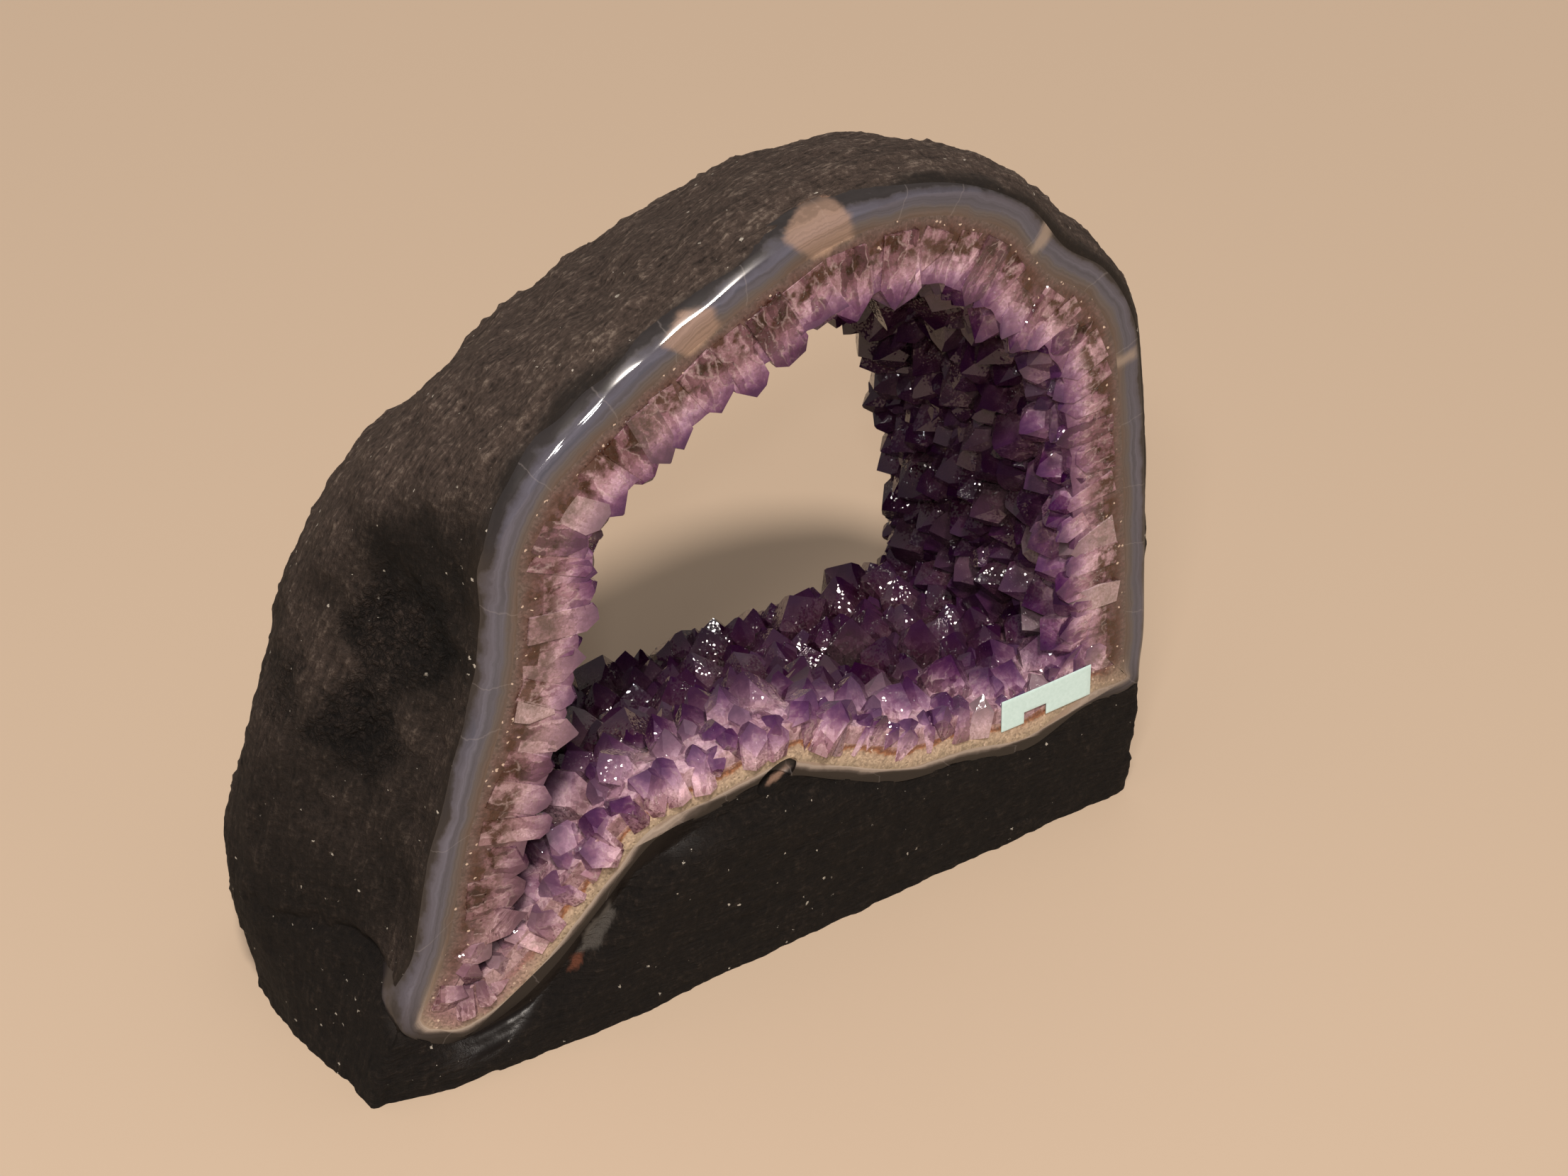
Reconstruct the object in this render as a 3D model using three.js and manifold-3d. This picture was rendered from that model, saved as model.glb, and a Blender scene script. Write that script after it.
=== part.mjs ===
// A standing amethyst geode, about 320 mm wide: a lump of dark coated rock, sawn and polished in front,
// cut flat underneath, and open right through. Inside the rock runs a band of agate, and inside that a
// crust of amethyst crystals whose points face the hollow. A blank paper tag sits on the front edge.
// X runs along the sawn face, Y from that face to the back, Z up. Millimetres.
import * as THREE from "three";
import { mergeVertices } from "three/addons/utils/BufferGeometryUtils.js";
import Module from "manifold-3d";

const wasm = await Module();
wasm.setup();

// Driving dimensions
const shoulderY = 14; // the rounded edge of the sawn face has run out here
const bellyY = 62; // the rock is widest here
const rearY = 98; // the back starts to close in here
const backY = 114; // the rim of the opening in the back
const edgeRound = 7; // how far the polished face's edge is rounded over
const footRound = 2; // the same, on the base
const agateThickness = { arch: 8.5, sill: 4.5 };
const quartzThickness = 8; // the pale quartz that the crystals stand on
const layerGap = 0.3;
const axisPoint = { x: 130, z: 132 }; // every outline is seen whole from this line along Y

// Outlines as [x, z] points, clockwise from the lower left, seen from the front.
// The ends of the sill over the base; the rest of the rim is its arch
const sillLeft = { x: 8, z: 24 };
const sillRight = { x: 297, z: 46 };
const sillBlend = 0.06; // radians from the one to the other, either way
// The outer edge of the polished face, where the dark skin starts
const rimOutline = [
  [8, 29], [17, 52], [25, 82], [34, 108], [43, 132], [48, 155], [51, 179], [61, 198], [82, 215],
  [106, 230], [132, 243], [160, 254], [188, 257], [214, 252], [236, 240], [250, 224], [267, 212],
  [280, 192], [286, 165], [290, 135], [294, 100], [297, 65], [295, 46], [272, 45], [247, 37],
  [220, 42], [193, 45], [168, 56], [146, 66], [118, 63], [100, 61], [80, 44], [60, 26], [45, 17],
  [27, 13], [14, 20],
];
// The rock behind the rounded edge, at the belly and at the rear. All run below the floor and are cut there.
const footCut = -12;
const shoulderOutline = [
  [-4, footCut], [-3, 5], [2, 18], [6, 30], [15, 52], [23, 82], [32, 108], [41, 132], [46, 155],
  [49, 180], [60, 200], [81, 217], [105, 232], [131, 245], [160, 256], [188, 260], [216, 256],
  [240, 245], [256, 229], [272, 216], [286, 195], [292, 166], [296, 135], [299, 100], [301, 65],
  [299, 40], [297, 16], [290, footCut],
];
const bellyOutline = [
  [-7, footCut], [-12, 8], [-15, 28], [-15, 46], [-12, 66], [-6, 88], [3, 112], [13, 138],
  [26, 163], [41, 184], [62, 198], [86, 213], [116, 228], [145, 240], [170, 248], [194, 250],
  [217, 246], [240, 239], [263, 229], [283, 212], [296, 186], [302, 155], [305, 120], [305, 80],
  [304, 40], [300, 0], [299, footCut],
];
const rearOutline = [
  [0, footCut], [-5, 10], [-7, 30], [-6, 48], [1, 68], [10, 90], [19, 112], [28, 135], [40, 156],
  [56, 172], [77, 184], [100, 198], [128, 212], [155, 223], [180, 231], [205, 233], [229, 227],
  [251, 214], [271, 195], [284, 172], [292, 145], [296, 115], [298, 80], [298, 40], [295, footCut],
];
// The outer side of the agate band at the belly and at the back
const cavityBelly = [
  [33, 36], [24, 55], [24, 85], [32, 115], [43, 142], [57, 167], [80, 187], [110, 204], [140, 217],
  [170, 226], [200, 229], [228, 223], [252, 209], [272, 185], [283, 150], [287, 115], [287, 80],
  [283, 52], [264, 39], [230, 35], [190, 34], [150, 34], [110, 34], [70, 32], [48, 31],
];
const cavityBack = [
  [50, 40], [42, 60], [42, 88], [48, 114], [59, 138], [76, 158], [100, 175], [130, 188],
  [160, 196], [190, 199], [217, 195], [243, 185], [263, 167], [275, 140], [282, 110], [286, 75],
  [282, 48], [266, 35], [230, 30], [190, 28], [150, 28], [110, 29], [75, 32],
];
// The base's face in front of the sawn face, inside its rounded edge, and how far it stands proud
const baseOutline = [
  [11, 2], [12, 6], [22, 3], [42, 4], [60, 9], [74, 19], [86, 30], [98, 41], [112, 47], [130, 50],
  [152, 49], [170, 43], [190, 35], [215, 30], [232, 25], [252, 25], [266, 30], [284, 30],
  [285, 16], [283, 2],
];
const baseProud = [[0, 1], [12, 3], [34, 7], [140, 7], [170, 5], [200, 3.2], [234, 1.3], [300, 1]];
const baseEdge = { across: 9, deep: 7 };
// The rock swells out behind the rounded edge, and its back is rounded over: [behind rearY, drawn in]
const shoulderSwell = 2;
const backRounding = [[0, 0], [6, 5], [12, 16], [backY - rearY, 30]];
const tagSize = { width: 38.5, height: 12.5, thickness: 0.6 };
const tagNotch = { from: 9.5, width: 9.5, height: 4.5 };
const tagCorner = { x: 235, y: -0.4, z: 48.5 };
const tagTilt = THREE.MathUtils.degToRad(2);

// Low swells of the skin: their height, how many go round, and how they turn towards the back
const swells = [
  { height: 1.1, lobes: 5, twist: 1 / 19, start: 0 },
  { height: 0.8, lobes: 11, twist: -1 / 11, start: 1 },
  { height: 0.5, lobes: 23, twist: 1 / 7, start: 2 },
];
const swellFade = 20; // they grow to their full height over this much behind the rounded edge
// Dents in the skin: the angle round the axis and the reach across it in radians, the rest in millimetres
const dents = [
  { angle: 2.93, y: 34, across: 0.2, along: 13, deep: 5 },
  { angle: -2.8, y: 52, across: 0.1, along: 9, deep: 2.5 },
  { angle: 1.9, y: 70, across: 0.14, along: 16, deep: 2 },
  { angle: 0.2, y: 66, across: 0.2, along: 18, deep: 3 },
];

// The crystals, in rows from front to back
const crystalRows = 8;
const crystalsAround = 34;
const crystalLength = 17;
const lengthRange = [0.62, 1.22]; // shares of that length, from the shortest to the longest
const shoulderRange = [0.25, 0.55]; // where a crystal's end faces start, as shares of its length
const shoulderTaper = 0.2; // how far its column has drawn in there
const crystalLean = 3.5; // of the tip to any side, at most
const shoulderLean = 0.3; // the part of that lean that its shoulders share
const centreShift = { around: 0.2, along: 0.18 }; // from an even spacing, as shares of the spacing
const cornerRise = { middle: 1, range: 1.4 }; // height over the foot where neighbours meet
const rowOverlap = 2; // the first and last rows start so far outside the stone
const tightCorner = { step: 0.025, share: 0.7 }; // crystals across a corner stay clear of each other
const seed = 7;

// How finely the solids are cut
const around = 58;
const outlineSteps = 720;
const wallSteps = 360;
const rockDepths = [0, 1.5, 5, shoulderY, 28, 45, bellyY, 80, rearY, 105, 110, backY];
const tubeDepths = [-20, shoulderY, 40, bellyY, 88, backY, 140];
const hollowReach = 40; // the hollow is cut this far past the front and the back
const tolerance = 0.05;
const mergeDistance = 1e-4;

// Repeatable random numbers from 0 to 1
function randomFrom(start) {
  let state = start;
  return () => {
    state = (state + 0x6d2b79f5) | 0;
    let t = Math.imul(state ^ (state >>> 15), 1 | state);
    t = (t + Math.imul(t ^ (t >>> 7), 61 | t)) ^ t;
    return ((t ^ (t >>> 14)) >>> 0) / 4294967296;
  };
}

// A smooth closed curve through [x, z] points, as a list of points
function smoothOutline(points, count) {
  const curve = new THREE.CatmullRomCurve3(
    points.map(([x, z]) => new THREE.Vector3(x, 0, z)),
    true,
    "centripetal",
  );
  curve.arcLengthDivisions = 2000;
  return curve.getSpacedPoints(count).slice(0, count);
}

const angleOf = (p) => Math.atan2(p.z - axisPoint.z, p.x - axisPoint.x);

const sillStart = angleOf(sillLeft);
const sillEnd = angleOf(sillRight);

// 1 on the arch of the rim, 0 on its sill over the base
function archShare(angle) {
  const { smoothstep } = THREE.MathUtils;
  return 1 - smoothstep(angle, sillStart - sillBlend, sillStart + sillBlend) *
    (1 - smoothstep(angle, sillEnd - sillBlend, sillEnd + sillBlend));
}

// An outline moved in square to itself, by an amount that depends on the angle; folds are dropped
function insetOutline(points, insetAt) {
  const fine = smoothOutline(points, outlineSteps);
  const moved = fine.map((p, k) => {
    const [after, before] = [(k + 2) % outlineSteps, (k + outlineSteps - 2) % outlineSteps];
    const along = fine[after].clone().sub(fine[before]).normalize();
    const inset = insetAt(angleOf(p));
    return { x: p.x + along.z * inset, z: p.z - along.x * inset, inset };
  });
  const clear = (p, m) => Math.hypot(p.x - m.x, p.z - m.z) > 0.96 * m.inset - 0.02;
  return moved.filter((m) => fine.every((p) => clear(p, m)));
}

// The distance from the axis to an outline, as a function of the angle round the axis
function radiusOfOutline(outline) {
  const fine = outline
    .map((p) => ({ angle: angleOf(p), radius: Math.hypot(p.x - axisPoint.x, p.z - axisPoint.z) }))
    .sort((a, b) => a.angle - b.angle);
  const turn = 2 * Math.PI;
  fine.unshift({ angle: fine.at(-1).angle - turn, radius: fine.at(-1).radius });
  fine.push({ angle: fine[1].angle + turn, radius: fine[1].radius });
  return (angle) => {
    const k = Math.max(1, fine.findIndex((f) => f.angle >= angle));
    const [a, b] = [fine[k - 1], fine[k]];
    const share = (angle - a.angle) / Math.max(b.angle - a.angle, 1e-9);
    return a.radius + (b.radius - a.radius) * THREE.MathUtils.clamp(share, 0, 1);
  };
}

// A smooth value through [position, value] pairs
function smoothThrough(pairs, at) {
  const last = pairs.length - 1;
  if (at <= pairs[0][0]) return pairs[0][1];
  if (at >= pairs[last][0]) return pairs[last][1];
  const k = pairs.findIndex(([p]) => p > at) - 1;
  const slope = (i) => {
    const [a, b] = [pairs[Math.max(i - 1, 0)], pairs[Math.min(i + 1, last)]];
    return (b[1] - a[1]) / (b[0] - a[0]);
  };
  const [p0, v0] = pairs[k];
  const [p1, v1] = pairs[k + 1];
  const step = p1 - p0;
  const t = (at - p0) / step;
  const h = t * t * (3 - 2 * t);
  return v0 + (v1 - v0) * h + step * (slope(k) * t * (1 - t) ** 2 - slope(k + 1) * t * t * (1 - t));
}

const smoothRadius = (points) => radiusOfOutline(smoothOutline(points, outlineSteps));
const shoulderRadius = smoothRadius(shoulderOutline);
const bellyRadius = smoothRadius(bellyOutline);
const rearRadius = smoothRadius(rearOutline);

// Low swells of the rock's skin, and the dents where lumps have broken out of it
function swell(angle, y) {
  const waves = swells.reduce(
    (sum, wave) => sum + wave.height * Math.sin(wave.lobes * angle + wave.twist * y + wave.start),
    0,
  );
  return dents.reduce((sum, dent) => {
    const turn = THREE.MathUtils.euclideanModulo(angle - dent.angle + Math.PI, 2 * Math.PI) - Math.PI;
    return sum - dent.deep * Math.exp(-((turn / dent.across) ** 2) - ((y - dent.y) / dent.along) ** 2);
  }, waves);
}

function rockRadius(angle, y) {
  const front = shoulderRadius(angle);
  if (y < shoulderY) {
    const run = 1 - y / shoulderY;
    const round = THREE.MathUtils.lerp(footRound, edgeRound, archShare(angle));
    return front - round * (1 - Math.sqrt(1 - run * run));
  }
  const rear = rearRadius(angle);
  const outline = smoothThrough(
    [[0, front], [shoulderY, front + shoulderSwell], [bellyY, bellyRadius(angle)],
      ...backRounding.map(([behind, drawnIn]) => [rearY + behind, rear - drawnIn])],
    y,
  );
  const fade = THREE.MathUtils.smoothstep(y, shoulderY, shoulderY + swellFade);
  return outline + fade * swell(angle, y);
}

// A layer's outer side: the band's outline moved in by an amount, from the rim to the back
function layerRadius(insetAt) {
  const [rim, belly, back] = [rimOutline, cavityBelly, cavityBack].map((outline) =>
    radiusOfOutline(insetOutline(outline, insetAt)),
  );
  return (angle, y) =>
    smoothThrough(
      [[0, rim(angle)], [shoulderY, rim(angle)], [bellyY, belly(angle)], [backY, back(angle)]],
      y,
    );
}
const agateAt = (angle) =>
  THREE.MathUtils.lerp(agateThickness.sill, agateThickness.arch, archShare(angle));

const pointAt = (radius, angle, y) =>
  new THREE.Vector3(axisPoint.x + radius * Math.cos(angle), y, axisPoint.z + radius * Math.sin(angle));

// A closed mesh as a solid
function solidOf(geometry) {
  for (const name of ["normal", "uv"]) geometry.deleteAttribute(name);
  const merged = mergeVertices(geometry, mergeDistance);
  return new wasm.Manifold(
    new wasm.Mesh({
      numProp: 3,
      vertProperties: merged.attributes.position.array,
      triVerts: new Uint32Array(merged.index.array),
    }),
  );
}

// A solid filled out to a radius that varies with the angle and with y
function filledTube(radiusAt, angles, depths) {
  const positions = [];
  const index = [];
  const count = angles.length;
  for (const y of depths)
    for (const angle of angles) positions.push(...pointAt(radiusAt(angle, y), angle, y).toArray());
  for (let ring = 0; ring + 1 < depths.length; ring++)
    for (let k = 0; k < count; k++) {
      const a = ring * count + k;
      const b = ring * count + ((k + 1) % count);
      index.push(a, a + count, b, b, a + count, b + count);
    }
  for (const [ring, flip] of [[0, false], [depths.length - 1, true]]) {
    const hub = positions.length / 3;
    positions.push(...pointAt(0, 0, depths[ring]).toArray());
    for (let k = 0; k < count; k++) {
      const a = ring * count + k;
      const b = ring * count + ((k + 1) % count);
      index.push(...(flip ? [hub, b, a] : [hub, a, b]));
    }
  }
  const geometry = new THREE.BufferGeometry();
  geometry.setAttribute("position", new THREE.Float32BufferAttribute(positions, 3));
  geometry.setIndex(index);
  return solidOf(geometry);
}

// The angles of points spaced evenly along an outline
const anglesAlong = (outline, count) =>
  smoothOutline(outline, count).map(angleOf).sort((a, b) => a - b);

// A slab in front of the sawn face, rounded over at its edge: the face of the base
function baseFace() {
  const shape = new THREE.Shape();
  shape.setFromPoints(
    smoothOutline(baseOutline, 32).reverse().map((p) => new THREE.Vector2(p.x, p.z)),
  );
  const geometry = new THREE.ExtrudeGeometry(shape, {
    depth: shoulderY,
    bevelThickness: baseEdge.deep,
    bevelSize: baseEdge.across,
    bevelSegments: 3,
  });
  geometry.rotateX(Math.PI / 2);
  geometry.translate(0, shoulderY, 0);
  const place = geometry.attributes.position;
  for (let k = 0; k < place.count; k++)
    if (place.getY(k) < 0)
      place.setY(k, (place.getY(k) * smoothThrough(baseProud, place.getX(k))) / baseEdge.deep);
  return solidOf(geometry);
}

// The space inside the crystals: a hollow wall of six-sided cells, each drawn in to a crystal's point.
// Six neighbouring cells meet round each crystal, so the crystals are jammed together as they grew.
function crystalHollow() {
  const crystalFoot = layerRadius((angle) => 2 * layerGap + agateAt(angle) + quartzThickness);
  const random = randomFrom(seed);
  const spread = (range) => (random() - 0.5) * 2 * range;
  const fractions = anglesAlong(rimOutline, wallSteps);
  const wall = (share, y) => {
    const at = THREE.MathUtils.euclideanModulo(share, 1) * fractions.length;
    const k = Math.floor(at) % fractions.length;
    const next = fractions[(k + 1) % fractions.length] + (k + 1 === fractions.length ? 2 * Math.PI : 0);
    const angle = fractions[k] + (next - fractions[k]) * (at - Math.floor(at));
    return pointAt(crystalFoot(angle, y), angle, y);
  };
  const inwardAt = (share, y) => {
    const across = wall(share + 0.004, y).sub(wall(share - 0.004, y));
    const along = wall(share, y + 5).sub(wall(share, y - 5));
    return across.cross(along).normalize();
  };
  // How far a crystal can grow before it meets those across a tight corner
  const room = (share, y) => {
    const { step, share: clear } = tightCorner;
    const bend = inwardAt(share - step, y).angleTo(inwardAt(share + step, y));
    return (clear * wall(share + step, y).distanceTo(wall(share - step, y))) / Math.max(bend, 0.01);
  };

  const rowStep = (backY + 2 * rowOverlap) / (crystalRows - 1);
  const centres = [];
  for (let row = -1; row <= crystalRows; row++) {
    centres.push([]);
    for (let k = 0; k < crystalsAround; k++)
      centres.at(-1).push({
        share: (k + 0.5 * Math.abs(row % 2) + spread(centreShift.around)) / crystalsAround,
        y: (row + spread(centreShift.along)) * rowStep - rowOverlap,
      });
  }
  // Each pair of rows has two corners per crystal: one under two cells, one over two.
  const positions = [];
  const index = [];
  const pushPoint = (p) => positions.push(p.x, p.y, p.z) / 3 - 1;
  const near = (row, k) => {
    const turns = Math.floor(k / crystalsAround);
    const c = centres[row][k - turns * crystalsAround];
    return { share: c.share + turns, y: c.y };
  };
  const cornerRows = [];
  for (let row = 0; row + 1 < centres.length; row++) {
    const shift = row % 2;
    const corners = [];
    for (let k = 0; k < crystalsAround; k++)
      for (const trio of [
        [near(row, k), near(row, k + 1), near(row + 1, k + 1 - shift)],
        [near(row, k + 1), near(row + 1, k + 1 - shift), near(row + 1, k + 2 - shift)],
      ]) {
        const share = (trio[0].share + trio[1].share + trio[2].share) / 3;
        const y = (trio[0].y + trio[1].y + trio[2].y) / 3;
        const rise = cornerRise.middle + spread(cornerRise.range);
        const point = wall(share, y).addScaledVector(inwardAt(share, y), rise);
        corners.push({ point, index: pushPoint(point) });
      }
    cornerRows.push(corners);
  }
  const corner = (row, k) => cornerRows[row][THREE.MathUtils.euclideanModulo(k, 2 * crystalsAround)];
  for (let row = 1; row + 1 < centres.length; row++) {
    for (let k = 0; k < crystalsAround; k++) {
      const below = 2 * (k - 1 + ((row - 1) % 2));
      const ring = [
        corner(row - 1, below - 1), corner(row - 1, below), corner(row - 1, below + 1),
        corner(row, 2 * k), corner(row, 2 * k - 1), corner(row, 2 * k - 2),
      ];
      const { share, y } = centres[row][k];
      const inward = inwardAt(share, y);
      const middle = ring.reduce((sum, c) => sum.add(c.point), new THREE.Vector3()).divideScalar(6);
      const { lerp } = THREE.MathUtils;
      const length = Math.min(crystalLength * lerp(...lengthRange, random()), room(share, y));
      const lean = new THREE.Vector3(spread(crystalLean), spread(crystalLean), spread(crystalLean));
      const shoulder = length * lerp(...shoulderRange, random());
      const tip = middle.clone().addScaledVector(inward, length).add(lean);
      const shoulders = ring.map((c) => {
        const drawnIn = c.point.clone().lerp(middle, shoulderTaper);
        return pushPoint(drawnIn.addScaledVector(inward, shoulder).addScaledVector(lean, shoulderLean));
      });
      const apex = pushPoint(tip);
      for (let side = 0; side < 6; side++) {
        const next = (side + 1) % 6;
        const [a, b] = [ring[side].index, ring[next].index];
        index.push(a, shoulders[side], b, b, shoulders[side], shoulders[next]);
        index.push(shoulders[side], apex, shoulders[next]);
      }
    }
  }
  const lastRow = cornerRows.length - 1;
  for (const [row, y, flip] of [[0, -hollowReach, false], [lastRow, backY + hollowReach, true]]) {
    const hub = pushPoint(pointAt(0, 0, y));
    const count = 2 * crystalsAround;
    for (let k = 0; k < count; k++) {
      const [a, b] = [corner(row, k).index, corner(row, k + 1).index];
      index.push(...(flip ? [hub, b, a] : [hub, a, b]));
    }
  }
  const geometry = new THREE.BufferGeometry();
  geometry.setAttribute("position", new THREE.Float32BufferAttribute(positions, 3));
  geometry.setIndex(index);
  return solidOf(geometry);
}

function paperTag() {
  const { width, height, thickness } = tagSize;
  const { from, width: notchWidth, height: notchHeight } = tagNotch;
  const shape = new THREE.Shape();
  shape.setFromPoints(
    [[0, 0], [from, 0], [from, notchHeight], [from + notchWidth, notchHeight],
      [from + notchWidth, 0], [width, 0], [width, height], [0, height]]
      .map(([x, z]) => new THREE.Vector2(x, z)),
  );
  const geometry = new THREE.ExtrudeGeometry(shape, { depth: thickness, bevelEnabled: false });
  geometry.rotateZ(tagTilt);
  geometry.rotateX(Math.PI / 2);
  geometry.translate(tagCorner.x, tagCorner.y, tagCorner.z);
  return geometry;
}

// The largest of a solid's bodies, for cuts that leave crumbs
function mainBody(solid) {
  return solid.decompose().reduce((a, b) => (b.volume() > a.volume() ? b : a));
}

function geometryOf(solid) {
  const { vertProperties, triVerts } = solid.getMesh();
  const geometry = new THREE.BufferGeometry();
  geometry.setAttribute("position", new THREE.BufferAttribute(vertProperties, 3));
  geometry.setIndex(new THREE.BufferAttribute(triVerts, 1));
  geometry.computeVertexNormals();
  return geometry;
}

function meshOf(name, geometry, color, roughness) {
  const material = new THREE.MeshStandardMaterial({ color, roughness, metalness: 0, flatShading: true });
  const mesh = new THREE.Mesh(geometry, material);
  mesh.name = name;
  return mesh;
}

const floorPlane = [0, 0, 1];
const tubeAngles = anglesAlong(rimOutline, around);
const layer = (insetAt) => filledTube(layerRadius(insetAt), tubeAngles, tubeDepths);
const rockSolid = filledTube(rockRadius, tubeAngles, rockDepths);
const band = layer(() => 0);
const bandInside = layer(() => layerGap);
const agateInside = layer((angle) => layerGap + agateAt(angle));
const quartzOutside = layer((angle) => 2 * layerGap + agateAt(angle));

const rockShell = mainBody(
  rockSolid.add(baseFace()).subtract(band).trimByPlane(floorPlane, 0).simplify(tolerance),
);
const agateBand = mainBody(rockSolid.intersect(bandInside).subtract(agateInside).simplify(tolerance));
const crust = mainBody(rockSolid.intersect(quartzOutside).subtract(crystalHollow()).simplify(tolerance));

const geode = new THREE.Group();
geode.add(
  meshOf("rock_shell", geometryOf(rockShell), "#2b2725", 0.75),
  meshOf("agate_band", geometryOf(agateBand), "#8b8a95", 0.12),
  meshOf("amethyst_crust", geometryOf(crust), "#6b4a86", 0.15),
  meshOf("paper_tag", paperTag(), "#dff0ea", 0.6),
);

// The origin is in the middle of the underside of the object's box.
const box = new THREE.Box3().setFromObject(geode);
const middle = box.getCenter(new THREE.Vector3());
geode.position.set(-middle.x, -middle.y, -box.min.z);

export default geode;
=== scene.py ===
import math
import random
from functools import partial

import bpy
import numpy as np
from mathutils import Matrix, Vector, noise
from mathutils.bvhtree import BVHTree
from mathutils.kdtree import KDTree


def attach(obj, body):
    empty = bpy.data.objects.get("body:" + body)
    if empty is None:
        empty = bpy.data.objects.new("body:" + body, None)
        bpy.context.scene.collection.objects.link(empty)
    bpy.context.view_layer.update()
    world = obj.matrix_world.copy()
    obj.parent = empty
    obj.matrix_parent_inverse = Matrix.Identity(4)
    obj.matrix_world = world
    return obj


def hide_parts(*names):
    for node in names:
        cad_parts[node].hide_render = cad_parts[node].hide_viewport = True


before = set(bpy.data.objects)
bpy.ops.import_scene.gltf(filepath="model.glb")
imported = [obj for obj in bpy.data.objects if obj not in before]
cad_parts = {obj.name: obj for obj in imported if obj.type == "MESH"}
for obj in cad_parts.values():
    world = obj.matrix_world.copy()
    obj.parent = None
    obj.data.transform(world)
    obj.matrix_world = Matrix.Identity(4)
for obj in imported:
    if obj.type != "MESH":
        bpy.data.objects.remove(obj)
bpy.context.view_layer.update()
print("frame loaded:", sorted(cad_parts))

mm = 0.001
corner = (-0.145632, -0.053186)  # where the outlines are measured from, the sawn face's lower left

# The camera stands left of the stone, at head height of someone crouching, and looks down on it.
view = {"place": (-0.34058, -0.58389, 0.53354), "turn": (57.862, 0.277, -33.001), "lens": 56.05}
bpy.ops.object.camera_add(location=view["place"], rotation=[math.radians(a) for a in view["turn"]])
camera = bpy.context.object
camera.name = "camera"
camera.data.sensor_width = 36
camera.data.lens = view["lens"]
bpy.context.scene.camera = camera


def linear(code):
    parts = [int(code[k:k + 2], 16) / 255 for k in (1, 3, 5)]
    return [c / 12.92 if c <= 0.04045 else ((c + 0.055) / 1.055) ** 2.4 for c in parts] + [1.0]


def addNode(tree, kind, *inputs, out=0, **settings):
    # inputs fill the sockets in their order; a setting is a socket's or, in small letters, the node's own.
    # Each is a socket to link, a colour code or a value. The output asked for is handed back.
    made = tree.nodes.new("ShaderNode" + kind)
    for name in [name for name in settings if name.islower()]:
        value = settings.pop(name)
        if name != "stops":
            setattr(made, name, value)
            continue
        ramp = made.color_ramp
        while len(ramp.elements) < len(value):
            ramp.elements.new(1)
        for stop, (at, code) in zip(ramp.elements, value):
            stop.position = at
            stop.color = linear(code)
    sockets = {s.identifier.replace(" ", "_"): s for s in made.inputs}
    for socket, value in list(zip(made.inputs, inputs)) + [(sockets[name], settings[name]) for name in settings]:
        if isinstance(value, bpy.types.NodeSocket):
            tree.links.new(value, socket)
        else:
            socket.default_value = linear(value) if isinstance(value, str) else value
    return made.outputs[out] if made.outputs else None


def newMaterial(name):
    material = bpy.data.materials.new(name)
    material.use_nodes = True
    material.node_tree.nodes.clear()
    return material, partial(addNode, material.node_tree)


def deselectAll():
    bpy.ops.object.select_all(action="DESELECT")


def makeActive(piece):
    deselectAll()
    piece.select_set(True)
    bpy.context.view_layer.objects.active = piece


def addModifier(piece, kind, **settings):
    makeActive(piece)
    modifier = piece.modifiers.new(kind.lower(), kind)
    for name, value in settings.items():
        setattr(modifier, name, value)
    bpy.ops.object.modifier_apply(modifier=modifier.name)


def combine(piece, other, operation, keep=False):
    addModifier(piece, "BOOLEAN", operation=operation, solver="MANIFOLD", object=other)
    if not keep:
        bpy.data.objects.remove(other)


def readValues(items, name, kind=np.float32):
    flat = np.zeros(len(items), kind)
    items.foreach_get(name, flat)
    return flat


def cutOff(piece, at, out, **settings):
    # takes off what is beyond the plane and closes the cut
    makeActive(piece)
    bpy.ops.object.mode_set(mode="EDIT")
    bpy.ops.mesh.select_all(action="SELECT")
    bpy.ops.mesh.bisect(plane_co=at, plane_no=out, use_fill=True, clear_outer=True, **settings)
    bpy.ops.object.mode_set(mode="OBJECT")


def coordinates(piece, name="co"):
    flat = np.zeros(3 * len(piece.data.vertices), np.float32)
    piece.data.vertices.foreach_get(name, flat)
    return flat.reshape(-1, 3).astype(float)


def storeValues(piece, name, values, domain="POINT"):
    kind = "FLOAT" if np.ndim(values) == 1 else "FLOAT_VECTOR"
    attribute = piece.data.attributes.new(name, kind, domain)
    flat = np.asarray(values, np.float32).ravel()
    attribute.data.foreach_set("value" if kind == "FLOAT" else "vector", flat)


def finishPiece(piece, name, material, node):
    piece.name = piece.data.name = name
    piece.data.materials.clear()
    piece.data.materials.append(material)
    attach(piece, "root")
    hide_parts(node)
    piece.data.calc_loop_triangles()
    print("made", name, "with", len(piece.data.loop_triangles), "triangles")


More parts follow.
